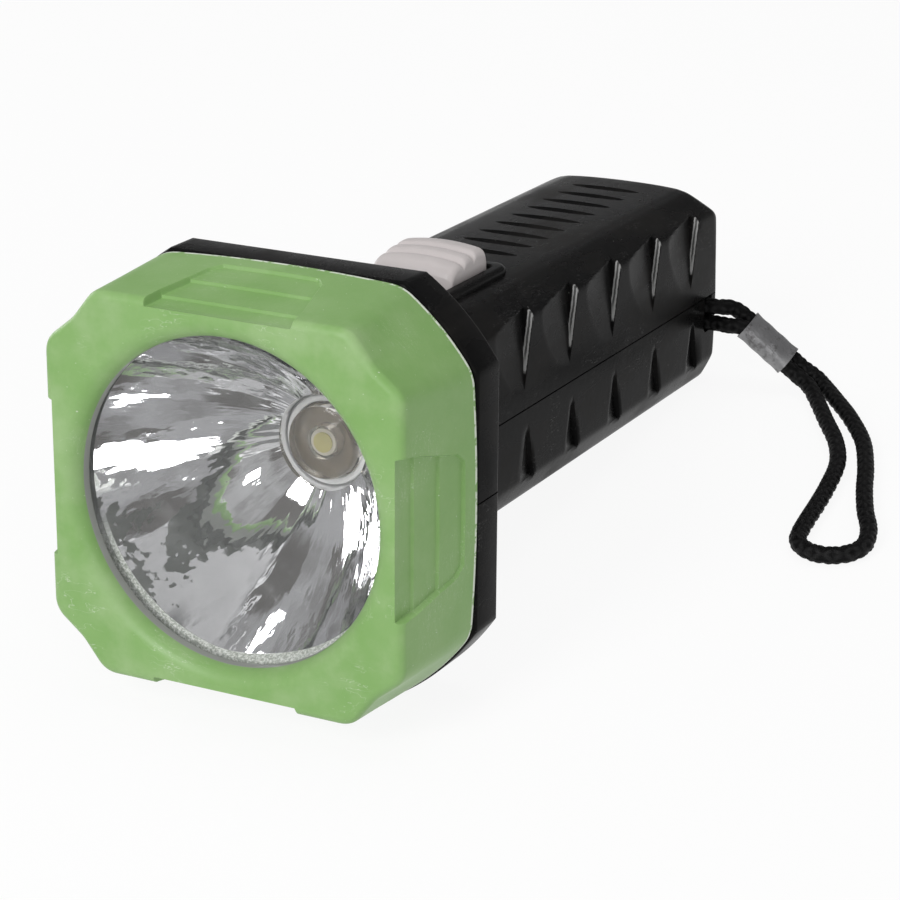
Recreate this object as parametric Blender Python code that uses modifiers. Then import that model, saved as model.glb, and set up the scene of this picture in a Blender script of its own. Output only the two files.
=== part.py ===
"""Square-headed LED hand torch with a slide switch and a wrist strap, in metres, +Z up.

Every piece is drawn in the torch's own straight frame: x to the right, y from the bezel's front face
to the tail, z up. One empty then tilts the whole torch as it lies on a table, on its collar and tail.
"""

import math

import bmesh
import bpy
from mathutils import Matrix, Vector

# Clearances
GAP = 0.0003
HALF_GAP = 0.00015
CUT_PAST = 0.001
CLEARLY_PAST = 0.03
FLATNESS = 0.0000002

# Bezel
BEZEL_FRONT_HALF = 0.0376
BEZEL_REAR_HALF = 0.0396
BEZEL_BOW = 0.0009
BEZEL_FRONT_CUT = 0.0110
BEZEL_REAR_CUT = 0.0145
BEZEL_DEPTH = 0.0234
BEZEL_LIP = 0.0018
BEZEL_REAR_EDGE = 0.0005
BEZEL_FLUTE = 0.0009
BEZEL_CORNER_BULGE = 0.0010
BEZEL_WALL = 0.0024
BEZEL_POCKET_END = 0.0092
OPENING_RADIUS = 0.0315
OPENING_ROLL = 0.0038
OPENING_ROLL_DEPTH = 0.0038
LENS_SEAT = 0.0048
LENS_POCKET_RADIUS = 0.0345

# Stepped recess on each side of the bezel: depth reached, half width there, and depth of each strip
RECESS_ENDS = (0.0050, 0.0120, 0.0170, 0.0190)
RECESS_FRONT_HALF_WIDTH = 0.0154
RECESS_HALF_WIDTHS = (0.0147, 0.0129, 0.0118, 0.0101)
RECESS_DEPTHS = (0.0016, 0.0011, 0.0006)
RECESS_STEP = 0.0004
RECESS_CORNER = 0.0006

# Lens and reflector
LENS_THICK = 0.0018
LENS_EDGE = 0.0003
FLANGE_THICK = 0.0015
MIRROR_RIM_RADIUS = 0.0312
MIRROR_NECK_RADIUS = 0.0102
MIRROR_THROAT_RADIUS = 0.0097
MIRROR_THROAT = 0.0398
MIRROR_NECK_LENGTH = 0.0026
MIRROR_NECK_FRONT = MIRROR_THROAT - MIRROR_NECK_LENGTH
MIRROR_WALL = 0.0010
BOSS_RADIUS = 0.0026
BOSS_OUT = 0.0150
BOSS_LENGTH = 0.0062
BOSS_FRONT = MIRROR_THROAT - BOSS_LENGTH

# Light source
RING_LIP_RADIUS = 0.0081
RING_BORE = 0.0077
RING_FLANGE_RADIUS = 0.0112
RING_RISE = 0.0009
RING_FLANGE_THICK = 0.0009
DOME_RADIUS = 0.0073
DOME_CROWN_RADIUS = 0.0061
DOME_REACH = 0.0033
DOME_FRONT = MIRROR_THROAT - DOME_REACH
DOME_SHOULDER = 0.0009
DOME_CAVITY_RADIUS = 0.0034
DOME_CAVITY_REACH = 0.0018
DOME_CAVITY_FRONT = MIRROR_THROAT - DOME_CAVITY_REACH
PACKAGE_RADIUS = 0.0027
PACKAGE_THICK = 0.0012
PHOSPHOR_RADIUS = 0.00215
PHOSPHOR_THICK = 0.0004
BOARD_RADIUS = 0.0120
BOARD_THICK = 0.0016
RETAINER_RADIUS = 0.0124
RETAINER_HOLE = 0.0060
RETAINER_THICK = 0.0020
RETAINER_EAR = 0.0030

# Screws
SMALL_SHANK = 0.0010
SMALL_HEAD = 0.0019
SMALL_HEAD_THICK = 0.0013
SMALL_GRIP = 0.0050
SCREW_SHANK = 0.0011
SCREW_HEAD = 0.0022
SCREW_HEAD_THICK = 0.0015
SCREW_GRIP = 0.0080
SCREW_SINK = 0.0022

# Collar and the spigot that carries the bezel
COLLAR_PROUD = 0.0004
COLLAR_HALF = BEZEL_REAR_HALF + COLLAR_PROUD
COLLAR_CUT = 0.0150
COLLAR_CORNER_BULGE = 0.0011
COLLAR_EDGE = 0.0010
COLLAR_LENGTH = 0.0094
COLLAR_BACK_WALL = 0.0018
SPIGOT_FRONT = 0.0098
SPIGOT_WALL = 0.0020
SPIGOT_NOSE = 0.0008
SNAP_HALF_WIDTH = 0.0040
SNAP_OFFSET = 0.0120
SNAP_START = 0.0160
SNAP_LENGTH = 0.0030
SNAP_RISE = 0.0010

# Handle section: half width, then the points of the upper and lower outline, then the hollow
HANDLE_HALF = 0.0230
HANDLE_TOP = 0.0241
HANDLE_BOTTOM = 0.0206
UPPER_OUTLINE = ((0.0230, 0.0179), (0.0227, 0.0190), (0.0220, 0.0197), (0.0199, 0.0209), (0.0172, 0.0224),
                 (0.0154, 0.0232), (0.0146, 0.0233), (0.0137, 0.0236), (0.0095, 0.0239), (0.0050, 0.02405))
LOWER_OUTLINE = ((0.0186, 0.0206), (0.0200, 0.0203), (0.0207, 0.0194), (0.0227, 0.0154), (0.0230, 0.0143))
TAIL_END = 0.1792
TAIL_SIDE_ROUND = 0.0022
TAIL_TOP_ROUND = 0.0050
TAIL_BOTTOM_ROUND = 0.0030
TAIL_WALL = 0.0022
HOLLOW_OUTLINE = ((0.0192, 0.0172), (0.0140, 0.0205), (0.0, 0.0211), (-0.0140, 0.0205), (-0.0192, 0.0172),
                  (-0.0192, -0.0130), (-0.0170, -0.0180), (0.0170, -0.0180), (0.0192, -0.0130))
HOLLOW_REAR_ROUND = 0.0020
NECK_BORE_FRONT_RADIUS = 0.0194
NECK_BORE_RADIUS = 0.0163
NECK_BORE_LENGTH = 0.0035

# Grip notches of the upper half: heights of the stations with the ramp's start, the riser and the depth
NOTCH_PITCH = 0.02115
NOTCH_COUNT = 5
NOTCH_FIRST = 0.0813
NOTCH_HEIGHTS = (0.0034, 0.0062, 0.0100, 0.0140, 0.0184, 0.0235)
NOTCH_STARTS = (-0.0072, -0.0096, -0.0132, -0.0158, -0.0172, -0.0180)
NOTCH_RISERS = (-0.0034, -0.0028, -0.0019, -0.0010, 0.0, 0.0006)
NOTCH_DEPTHS = (-0.0002, 0.0004, 0.0009, 0.0015, 0.0021, 0.0024)
NOTCH_FAINT = 0.0004

# Soft notches of the lower half, the same way, downwards from the apex
SOFT_FIRST = 0.0794
SOFT_HEIGHTS = (-0.0032, -0.0070, -0.0110, -0.0146, -0.0158)
SOFT_STARTS = (-0.0003, -0.0010, -0.0020, -0.0028, -0.0030)
SOFT_RISERS = (0.0004, 0.0015, 0.0027, 0.0038, 0.0040)
SOFT_DEPTHS = (-0.0002, 0.0010, 0.0017, 0.0021, 0.0002)

# Grooves across the top
GROOVE_COUNT = 9
GROOVE_FIRST = 0.1040
GROOVE_PITCH = 0.00775
GROOVE_HALF_LENGTH = 0.0074
GROOVE_HALF_WIDTH = 0.0017
GROOVE_DEPTH = 0.0009

# Switch on top
THUMB_HALF_WIDTH = 0.0092
THUMB_FRONT = 0.0730
THUMB_OUTLINE = ((0.0, 0.0228), (0.0, 0.0270), (0.0012, 0.0289), (0.0042, 0.0296), (0.0052, 0.0288), (0.0060, 0.0299),
                 (0.0088, 0.0302), (0.0098, 0.0293), (0.0106, 0.0304), (0.0136, 0.0304), (0.0153, 0.0298),
                 (0.0160, 0.0284), (0.0160, 0.0228))
THUMB_CROWN = 0.0010
THUMB_ROUND = 0.0007
SLIDE_TRAVEL = 0.0060
STEM_HALF = 0.0020
STEM_OFFSET = 0.0080
STEM_BOTTOM = 0.0146
RIM_OUTER_HALF = 0.0125
RIM_TOP = 0.0255
RIM_WALL = 0.0033
RIM_ROUND = 0.0012
RIM_CORNER = 0.0036
POCKET_FLOOR = 0.0223
POCKET_SPARE = 0.0008
POCKET_CORNER = 0.0012
SLOT_HALF_WIDTH = 0.0027
SLOT_SPARE = 0.0006

# Slide switch inside
BASE_HALF_WIDTH = 0.0055
BASE_FRONT = 0.0695
BASE_LENGTH = 0.0230
BASE_BOTTOM = 0.0098
BASE_TOP = 0.0150
CHANNEL_HALF_WIDTH = 0.0036
CHANNEL_FLOOR = 0.0118
CHANNEL_END = 0.0012
EAR_LENGTH = 0.0046
EAR_THICK = 0.0016
EAR_BOSS_RADIUS = 0.0023
CARRIER_HALF_WIDTH = 0.0032
CARRIER_HALF_LENGTH = 0.0038
CARRIER_BOTTOM = 0.0131
CARRIER_TOP = 0.0174
CONTACT_THICK = 0.0003
CONTACT_HALF_WIDTH = 0.0022
CONTACT_HALF_LENGTH = 0.0042
TERMINAL_PITCH = 0.0060
TERMINAL_HALF_WIDTH = 0.0012
TERMINAL_HALF_LENGTH = 0.0009
TERMINAL_TOP = 0.0121
TERMINAL_BOTTOM = 0.0060
TERMINAL_SLACK = 0.0003

# Battery and charging
BATTERY_HALF_WIDTH = 0.0155
BATTERY_FRONT = 0.0995
BATTERY_LENGTH = 0.0590
BATTERY_BOTTOM = -0.0177
BATTERY_TOP = 0.0147
BATTERY_EDGE = 0.0010
TAG_OUT = 0.0080
TAG_HEIGHT = 0.0100
TAG_HALF_WIDTH = 0.0024
TAG_THICK = 0.0008
TAG_LENGTH = 0.0060
PAD_HALF_WIDTH = 0.0130
PAD_INSET = 0.0020
PAD_TOP = 0.0199
RIB_THICK = 0.0016
RIB_HALF_WIDTH = 0.0170
RIB_TOP = -0.0060
CARD_HALF_WIDTH = 0.0118
CARD_FRONT = 0.1626
CARD_THICK = 0.0016
CARD_BOTTOM = -0.0140
CARD_TOP = 0.0140
SOCKET_X = -0.0060
SOCKET_Z = -0.0078
SOCKET_HALF = 0.0044
SOCKET_BARREL = 0.0037
SOCKET_BORE = 0.00275
SOCKET_BORE_DEPTH = 0.0090
SOCKET_RECESS = 0.0006
PIN_RADIUS = 0.0010
PIN_SHORT = 0.0012
LAMP_X = -0.0060
LAMP_Z = 0.0080
LAMP_RADIUS = 0.0015
LAMP_BASE_RADIUS = 0.0019
LAMP_BASE_THICK = 0.0010
LAMP_FRONT = 0.1660
LAMP_PROUD = 0.0004
CAPACITOR_X = 0.0020
CAPACITOR_Z = 0.0080
CAPACITOR_RADIUS = 0.0025
CAPACITOR_LENGTH = 0.0080
CHIP_X = 0.0020
CHIP_Z = -0.0020
CHIP_HALF_WIDTH = 0.0020
CHIP_HALF_HEIGHT = 0.0025
CHIP_THICK = 0.0014
RESISTOR_X = -0.0100
RESISTOR_RADIUS = 0.0010
RESISTOR_HALF = 0.0032
RESISTOR_OFF = 0.0014

# Housing screws: across and along
FRONT_SCREW = (0.0145, 0.0560)
REAR_SCREW = (0.0156, 0.1658)
POST_RADIUS = 0.0028
POST_TOP = 0.0190

# Wires: middle points of each route, as (x, y, z)
WIRE_RADIUS = 0.0006
SWITCH_WIRE_WAY = ((0.0080, 0.0905, 0.0066), (0.0050, 0.0868, 0.0044))
LED_WIRE_WAY = ((0.0016, 0.0720, 0.0034), (0.0040, 0.0600, 0.0022), (0.0044, 0.0500, 0.0020))
RETURN_WIRE_WAY = ((-0.0084, 0.0890, 0.0044), (-0.0074, 0.0740, 0.0012), (-0.0050, 0.0560, -0.0010),
                   (-0.0042, 0.0490, -0.0014))
BOARD_WIRE_ACROSS = 0.0030
BOARD_WIRE_UP = 0.0014
SIDE_WIRE_OUT = 0.0174
SIDE_WIRE_UP = 0.0080
SIDE_WIRE_BENDS = ((0.0130, 0.0930, 0.0110), (0.0166, 0.0945, 0.0092))
SIDE_WIRE_REAR = ((0.0168, 0.1600, 0.0074), (0.0140, 0.1614, 0.0060))
SIDE_WIRE_END = (0.0100, 0.0050)

# Wrist strap
STRAP_RADIUS = 0.0018
STRAP_SPREAD = 0.0039
CRIMP_SPREAD = 0.0039
CRIMP_ROLL = math.radians(18.0)
TWIST_SPREAD = 0.0043
TWIST_RISE = 0.0006
SLOT_CENTRE = 0.1732
SLOT_ACROSS = 0.0042
SLOT_TOP_Z = -0.0022
ANCHOR_X = 0.0080
ANCHOR_LENGTH = 0.0050
ANCHOR_Y = 0.1728
ANCHOR_WALL = 0.0008
CRIMP_START = (0.0319, 0.1755, 0.0146)
CRIMP_END = (0.0413, 0.1775, 0.0066)
CRIMP_WALL = 0.0004
CRIMP_SLACK = 0.0003
FLOOR_GAP = 0.0001
STRAP_SAMPLE = 0.0052

# Strands across and along: from the crimp down to the table, to the bight and back
NEAR_DESCENT = (0.0475, 0.1748, 0.0027)
NEAR_STRAND = ((0.0513, 0.1700), (0.0570, 0.1608), (0.0628, 0.1515), (0.0669, 0.1418), (0.0688, 0.1312),
               (0.0698, 0.1222), (0.0704, 0.1150))
BIGHT = ((0.0711, 0.1090), (0.0724, 0.1049), (0.0759, 0.1023), (0.0803, 0.1023), (0.0838, 0.1049),
         (0.0851, 0.1090))
FAR_STRAND = ((0.0837, 0.1152), (0.0802, 0.1227), (0.0767, 0.1317), (0.0732, 0.1420), (0.0684, 0.1533),
              (0.0617, 0.1637), (0.0558, 0.1711), (0.0508, 0.1771))
FAR_DESCENT = (0.0474, 0.1797, 0.0028)

# Fineness
SIDE_STEPS = 6
CORNER_STEPS = 4
ROUND_STEPS = 48
SMALL_STEPS = 20
LIP_STEPS = 4

# Numbers without a unit
ROOT_HALF = math.sqrt(0.5)
LIP_CUT_SHARE = 2.0 - math.sqrt(2.0)
BODY_SHARES = (0.35, 0.7, 1.0)
FLUTE_SHARES = (0.45, 0.1, 0.0)
BULGE_SHARES = (0.15, 0.6, 1.0)
ROLL_SHARES = ((0.0, 1.0), (0.10, 0.66), (0.32, 0.35), (0.62, 0.13), (1.0, 0.0))
MIRROR_SHARES = (0.0, 0.07, 0.16, 0.27, 0.39, 0.52, 0.65, 0.78, 0.90, 1.0)
OUTER_SHARES = (0.12, 0.24, 0.38, 0.54, 0.70, 0.85, 1.0)
GROOVE_SHARES = (-1.0, -0.8, -0.5, 0.0, 0.5, 0.8, 1.0)
CROWN_SHARES = (-1.0, -0.85, -0.5, 0.0, 0.5, 0.85, 1.0)

COLOURS = {
    "green": ((0.205, 0.376, 0.114), 0.42, 0.0),
    "clear": ((0.85, 0.87, 0.87), 0.05, 0.0),
    "mirror": ((0.80, 0.80, 0.81), 0.08, 1.0),
    "grey": ((0.36, 0.36, 0.37), 0.5, 0.0),
    "white": ((0.75, 0.75, 0.73), 0.5, 0.0),
    "yellow": ((0.48, 0.45, 0.16), 0.5, 0.0),
    "board": ((0.17, 0.14, 0.10), 0.6, 0.0),
    "black": ((0.022, 0.022, 0.023), 0.38, 0.0),
    "light": ((0.64, 0.59, 0.59), 0.45, 0.0),
    "steel": ((0.42, 0.42, 0.43), 0.3, 1.0),
    "brass": ((0.60, 0.44, 0.18), 0.3, 1.0),
    "blue": ((0.02, 0.05, 0.22), 0.5, 0.0),
    "foam": ((0.06, 0.06, 0.06), 0.95, 0.0),
    "card": ((0.03, 0.16, 0.06), 0.5, 0.0),
    "red": ((0.42, 0.02, 0.02), 0.35, 0.0),
    "cord": ((0.012, 0.012, 0.013), 0.8, 0.0),
    "crimp": ((0.50, 0.50, 0.51), 0.35, 1.0),
}

for old in list(bpy.data.objects):
    bpy.data.objects.remove(old, do_unlink=True)

torch = bpy.data.collections.new("led_flashlight")
cutters = bpy.data.collections.new("cutters")
bpy.context.scene.collection.children.link(torch)
bpy.context.scene.collection.children.link(cutters)
cutters.hide_render = True

# The torch rests on the collar's lowest edge and on the end of the handle's flat bottom
COLLAR_FRONT = BEZEL_DEPTH + GAP
COLLAR_BACK = COLLAR_FRONT + COLLAR_LENGTH
COLLAR_CONTACT = COLLAR_BACK - COLLAR_EDGE
TAIL_CONTACT = TAIL_END - TAIL_BOTTOM_ROUND
TILT = math.atan2(COLLAR_HALF - HANDLE_BOTTOM, TAIL_CONTACT - COLLAR_CONTACT)
FLOOR_LEVEL = -math.sin(TILT) * COLLAR_CONTACT - math.cos(TILT) * COLLAR_HALF
FRONT_MOST = -math.sin(TILT) * (BEZEL_FRONT_HALF - BEZEL_LIP)
REAR_MOST = math.cos(TILT) * TAIL_END + math.sin(TILT) * (HANDLE_TOP - TAIL_TOP_ROUND)
MIDDLE = (FRONT_MOST + REAR_MOST) / 2.0

lying = bpy.data.objects.new("lying_frame", None)
torch.objects.link(lying)
lying.location = (0.0, -MIDDLE, -FLOOR_LEVEL)
lying.rotation_euler = (-TILT, 0.0, 0.0)


def on_table(x, y, height):
    """Straight-frame point over x and y at this height above the table."""
    return (x, y, (height + FLOOR_LEVEL + math.sin(TILT) * y) / math.cos(TILT))


looks = {}
for look_name, (colour, roughness, metallic) in COLOURS.items():
    look = bpy.data.materials.new(look_name)
    look.use_nodes = True
    shader = look.node_tree.nodes["Principled BSDF"]
    shader.inputs["Base Color"].default_value = (*colour, 1.0)
    shader.inputs["Roughness"].default_value = roughness
    shader.inputs["Metallic"].default_value = metallic
    looks[look_name] = look


def place(name, mesh, look):
    """Adds one object in the torch's frame. Without a look it is a cutter."""
    piece = bpy.data.objects.new(name, mesh)
    piece.parent = lying
    if look:
        own = looks[look].copy()
        own.name = name + "_" + look
        mesh.materials.append(own)
        torch.objects.link(piece)
    else:
        piece.hide_render = True
        piece.display_type = "WIRE"
        cutters.objects.link(piece)
    return piece


class Shape:
    """Closed solids gathered into one mesh."""

    def __init__(self):
        self.points = []
        self.faces = []

    def loft(self, rings):
        """Joins rings of equally many points and closes both ends."""
        first = len(self.points)
        count = len(rings[0])
        for ring in rings:
            self.points.extend(ring)
        for row in range(len(rings) - 1):
            here = first + row * count
            for column in range(count):
                after = (column + 1) % count
                self.faces.append((here + column, here + after, here + count + after, here + count + column))
        last = first + (len(rings) - 1) * count
        self.faces.append(tuple(range(first + count - 1, first - 1, -1)))
        self.faces.append(tuple(range(last, last + count)))
        return self

    def turned(self, profile, centre=(0.0, 0.0), along="Y", steps=ROUND_STEPS):
        """Turns a closed profile of (along, radius) points round an axis through centre."""
        rows = []
        for distance, radius in profile:
            row = []
            for step in range(steps if radius > 0.0 else 1):
                angle = 2.0 * math.pi * step / steps
                first = centre[0] + radius * math.cos(angle)
                second = centre[1] + radius * math.sin(angle)
                row.append(len(self.points))
                self.points.append((first, distance, second) if along == "Y" else (first, second, distance))
            rows.append(row)
        closed = len(rows[0]) > 1
        for index in range(len(rows) if closed else len(rows) - 1):
            here = rows[index]
            there = rows[(index + 1) % len(rows)]
            for step in range(steps):
                after = (step + 1) % steps
                corners = [here[step % len(here)], here[after % len(here)],
                           there[after % len(there)], there[step % len(there)]]
                face = tuple(dict.fromkeys(corners))
                if len(face) > 2:
                    self.faces.append(face)
        return self

    def block(self, low, high):
        """A box between two corners."""
        ring = ((low[0], low[2]), (high[0], low[2]), (high[0], high[2]), (low[0], high[2]))
        return self.loft([[(x, y, z) for x, z in ring] for y in (low[1], high[1])])

    def make(self, name, look=None, smooth=True):
        mesh = bpy.data.meshes.new(name)
        mesh.from_pydata([tuple(point) for point in self.points], [], self.faces)
        work = bmesh.new()
        work.from_mesh(mesh)
        bmesh.ops.recalc_face_normals(work, faces=work.faces)
        work.normal_update()
        bent = [face for face in work.faces if any(
            abs((corner.co - face.verts[0].co).dot(face.normal)) > FLATNESS for corner in face.verts)]
        bmesh.ops.triangulate(work, faces=bent)
        work.to_mesh(mesh)
        work.free()
        if smooth:
            mesh.shade_smooth()
            mesh.set_sharp_from_angle(angle=math.radians(40.0))
        return place(name, mesh, look)


def carve(piece, tool, operation="DIFFERENCE"):
    modifier = piece.modifiers.new(tool.name, "BOOLEAN")
    modifier.operation = operation
    modifier.solver = "EXACT"
    modifier.object = tool
    return piece


def add(piece, tool):
    return carve(piece, tool, "UNION")


def soften(piece, width, segments=2, angle=50.0):
    modifier = piece.modifiers.new("soft_edges", "BEVEL")
    modifier.width = width
    modifier.segments = segments
    modifier.limit_method = "ANGLE"
    modifier.angle_limit = math.radians(angle)
    return piece


def head_ring(y, half, bow, cut, flute, bulge=0.0):
    """A square with cut corners at depth y, its sides bowed out and its corners kinked in or bulged out."""
    flat = half - cut
    quarter = []
    for step in range(SIDE_STEPS + 1):
        across = 2.0 * step / SIDE_STEPS - 1.0
        quarter.append((flat * across, half + bow * (1.0 - across * across)))
    for step in range(1, CORNER_STEPS):
        along = step / CORNER_STEPS
        inward = (flute * (1.0 - abs(2.0 * along - 1.0)) - bulge * 4.0 * along * (1.0 - along)) * ROOT_HALF
        quarter.append((flat + cut * along - inward, half - cut * along - inward))
    ring = []
    for _ in range(4):
        ring.extend((x, y, z) for x, z in quarter)
        quarter = [(z, -x) for x, z in quarter]
    return ring


def inset_ring(y, half, bow, cut, flute, inset, bulge=0.0):
    """The same ring with every side moved in by inset."""
    return head_ring(y, half - inset, bow, cut - LIP_CUT_SHARE * inset, flute, bulge)


def between(low, high, position):
    return low + (high - low) * position


def pin(distance, end, radius):
    """Profile of a plain rod."""
    return ((distance, 0.0), (distance, radius), (end, radius), (end, 0.0))


# Bezel
rings = []
for step in range(LIP_STEPS + 1):
    turn = math.pi / 2.0 * step / LIP_STEPS
    inset = BEZEL_LIP * (1.0 - math.sin(turn))
    depth = BEZEL_LIP * (1.0 - math.cos(turn))
    rings.append(inset_ring(depth, BEZEL_FRONT_HALF, 0.0, BEZEL_FRONT_CUT, BEZEL_FLUTE, inset))
for share, flute_share, bulge_share in zip(BODY_SHARES, FLUTE_SHARES, BULGE_SHARES):
    rings.append(head_ring(between(BEZEL_LIP, BEZEL_DEPTH - BEZEL_REAR_EDGE, share),
                           between(BEZEL_FRONT_HALF, BEZEL_REAR_HALF, share), BEZEL_BOW * share,
                           between(BEZEL_FRONT_CUT, BEZEL_REAR_CUT, share), BEZEL_FLUTE * flute_share,
                           BEZEL_CORNER_BULGE * bulge_share))
rings.append(inset_ring(BEZEL_DEPTH, BEZEL_REAR_HALF, BEZEL_BOW, BEZEL_REAR_CUT, 0.0, BEZEL_REAR_EDGE,
                        BEZEL_CORNER_BULGE))
bezel = Shape().loft(rings).make("bezel", "green")

roll = [(OPENING_ROLL_DEPTH * depth, OPENING_RADIUS + OPENING_ROLL * out) for depth, out in ROLL_SHARES]
mouth_front = (-CUT_PAST, OPENING_RADIUS + OPENING_ROLL + CUT_PAST)
mouth = [(-CUT_PAST, 0.0), mouth_front, *roll, (LENS_SEAT, OPENING_RADIUS), (LENS_SEAT, LENS_POCKET_RADIUS),
         (BEZEL_POCKET_END, LENS_POCKET_RADIUS), (BEZEL_POCKET_END, 0.0)]
carve(bezel, Shape().turned(mouth, steps=ROUND_STEPS + SMALL_STEPS).make("bezel_mouth"))

# The skirt's inside follows the outside one wall further in
skirt = []
for depth in (BEZEL_POCKET_END - GAP, BEZEL_DEPTH + CUT_PAST):
    share = depth / BEZEL_DEPTH
    skirt.append(inset_ring(depth, between(BEZEL_FRONT_HALF, BEZEL_REAR_HALF, share), 0.0,
                            between(BEZEL_FRONT_CUT, BEZEL_REAR_CUT, share), 0.0, BEZEL_WALL))
carve(bezel, Shape().loft(skirt).make("bezel_skirt"))

recess = Shape()
stations = [(-CUT_PAST, RECESS_FRONT_HALF_WIDTH, RECESS_DEPTHS[0])]
for index, depth in enumerate(RECESS_DEPTHS):
    if index:
        stations.append((RECESS_ENDS[index - 1] + RECESS_STEP, RECESS_HALF_WIDTHS[index - 1], depth))
    stations.append((RECESS_ENDS[index], RECESS_HALF_WIDTHS[index], depth))
stations.append((RECESS_ENDS[-1] - RECESS_CORNER, RECESS_HALF_WIDTHS[-1] + RECESS_CORNER, RECESS_DEPTHS[-1]))
stations.append((RECESS_ENDS[-1], RECESS_HALF_WIDTHS[-1], RECESS_DEPTHS[-1]))
for turn in range(4):
    rings = []
    for y, half_width, depth in stations:
        share = y / BEZEL_DEPTH
        floor = between(BEZEL_FRONT_HALF, BEZEL_REAR_HALF, share) + BEZEL_BOW * share - depth
        roof = BEZEL_REAR_HALF + BEZEL_BOW + CUT_PAST
        ring = [(-half_width, roof), (half_width, roof), (half_width, floor), (-half_width, floor)]
        for _ in range(turn):
            ring = [(z, -x) for x, z in ring]
        rings.append([(x, y, z) for x, z in ring])
    recess.loft(rings)
carve(bezel, recess.make("bezel_recesses"))

# Lens, held between the bezel's seat and the reflector's flange
lens_front = LENS_SEAT + GAP
lens_back = lens_front + LENS_THICK
lens_radius = LENS_POCKET_RADIUS - GAP
Shape().turned(((lens_front, 0.0), (lens_front, lens_radius - LENS_EDGE), (lens_front + LENS_EDGE, lens_radius),
                (lens_back - LENS_EDGE, lens_radius), (lens_back, lens_radius - LENS_EDGE),
                (lens_back, 0.0))).make("lens", "clear")

# Reflector: a solid with two screw bosses, then the bowl is taken out
mirror_front = lens_back + GAP


def mirror_radius(y):
    """Radius of the bowl's paraboloid at depth y."""
    share = (y - mirror_front) / (MIRROR_NECK_FRONT - mirror_front)
    return math.sqrt(between(MIRROR_RIM_RADIUS ** 2, MIRROR_NECK_RADIUS ** 2, share))


flange_back = mirror_front + FLANGE_THICK
shell = [(mirror_front, 0.0), (mirror_front, lens_radius), (flange_back, lens_radius),
         (flange_back, mirror_radius(flange_back) + MIRROR_WALL)]
for share in OUTER_SHARES:
    y = between(flange_back, MIRROR_NECK_FRONT, share)
    shell.append((y, mirror_radius(y) + MIRROR_WALL))
shell.append((MIRROR_THROAT, MIRROR_THROAT_RADIUS + MIRROR_WALL))
shell.append((MIRROR_THROAT, 0.0))
reflector = Shape().turned(shell).make("reflector", "mirror")
bosses = Shape()
for side in (-1.0, 1.0):
    bosses.turned(pin(BOSS_FRONT, MIRROR_THROAT, BOSS_RADIUS), (side * BOSS_OUT, 0.0), steps=SMALL_STEPS)
add(reflector, bosses.make("reflector_bosses"))
bowl = [(mirror_front - CUT_PAST, 0.0), (mirror_front - CUT_PAST, MIRROR_RIM_RADIUS + GAP)]
for share in MIRROR_SHARES:
    y = between(mirror_front, MIRROR_NECK_FRONT, share)
    bowl.append((y, mirror_radius(y)))
bowl.append((MIRROR_THROAT + CUT_PAST, MIRROR_THROAT_RADIUS))
bowl.append((MIRROR_THROAT + CUT_PAST, 0.0))
carve(reflector, Shape().turned(bowl).make("reflector_bowl"))

# Light source, from the throat back
ring_seat = MIRROR_THROAT + GAP
ring_back = ring_seat + RING_FLANGE_THICK
cone_radius = MIRROR_THROAT_RADIUS - GAP
Shape().turned(((ring_seat, cone_radius), (ring_seat, RING_FLANGE_RADIUS), (ring_back, RING_FLANGE_RADIUS),
                (ring_back, RING_BORE), (MIRROR_THROAT - RING_RISE, RING_BORE),
                (MIRROR_THROAT - RING_RISE, RING_LIP_RADIUS))).make("led_ring", "grey")
board_front = ring_back + GAP
board_back = board_front + BOARD_THICK
dome_back = board_front - GAP
dome = [(DOME_FRONT, 0.0), (DOME_FRONT, DOME_CROWN_RADIUS),
        (between(DOME_FRONT, DOME_FRONT + DOME_SHOULDER, 0.3), between(DOME_CROWN_RADIUS, DOME_RADIUS, 0.7)),
        (DOME_FRONT + DOME_SHOULDER, DOME_RADIUS), (dome_back, DOME_RADIUS), (dome_back, DOME_CAVITY_RADIUS),
        (DOME_CAVITY_FRONT, DOME_CAVITY_RADIUS), (DOME_CAVITY_FRONT, 0.0)]
Shape().turned(dome, steps=ROUND_STEPS - SMALL_STEPS // 2).make("led_dome", "clear")
package_front = dome_back - PACKAGE_THICK
Shape().turned(pin(package_front, dome_back, PACKAGE_RADIUS), steps=SMALL_STEPS).make("led_package", "white")
phosphor_back = package_front - GAP
Shape().turned(pin(phosphor_back - PHOSPHOR_THICK, phosphor_back, PHOSPHOR_RADIUS),
               steps=SMALL_STEPS).make("led_phosphor", "yellow")
Shape().turned(pin(board_front, board_back, BOARD_RADIUS)).make("led_board", "board")

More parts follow.
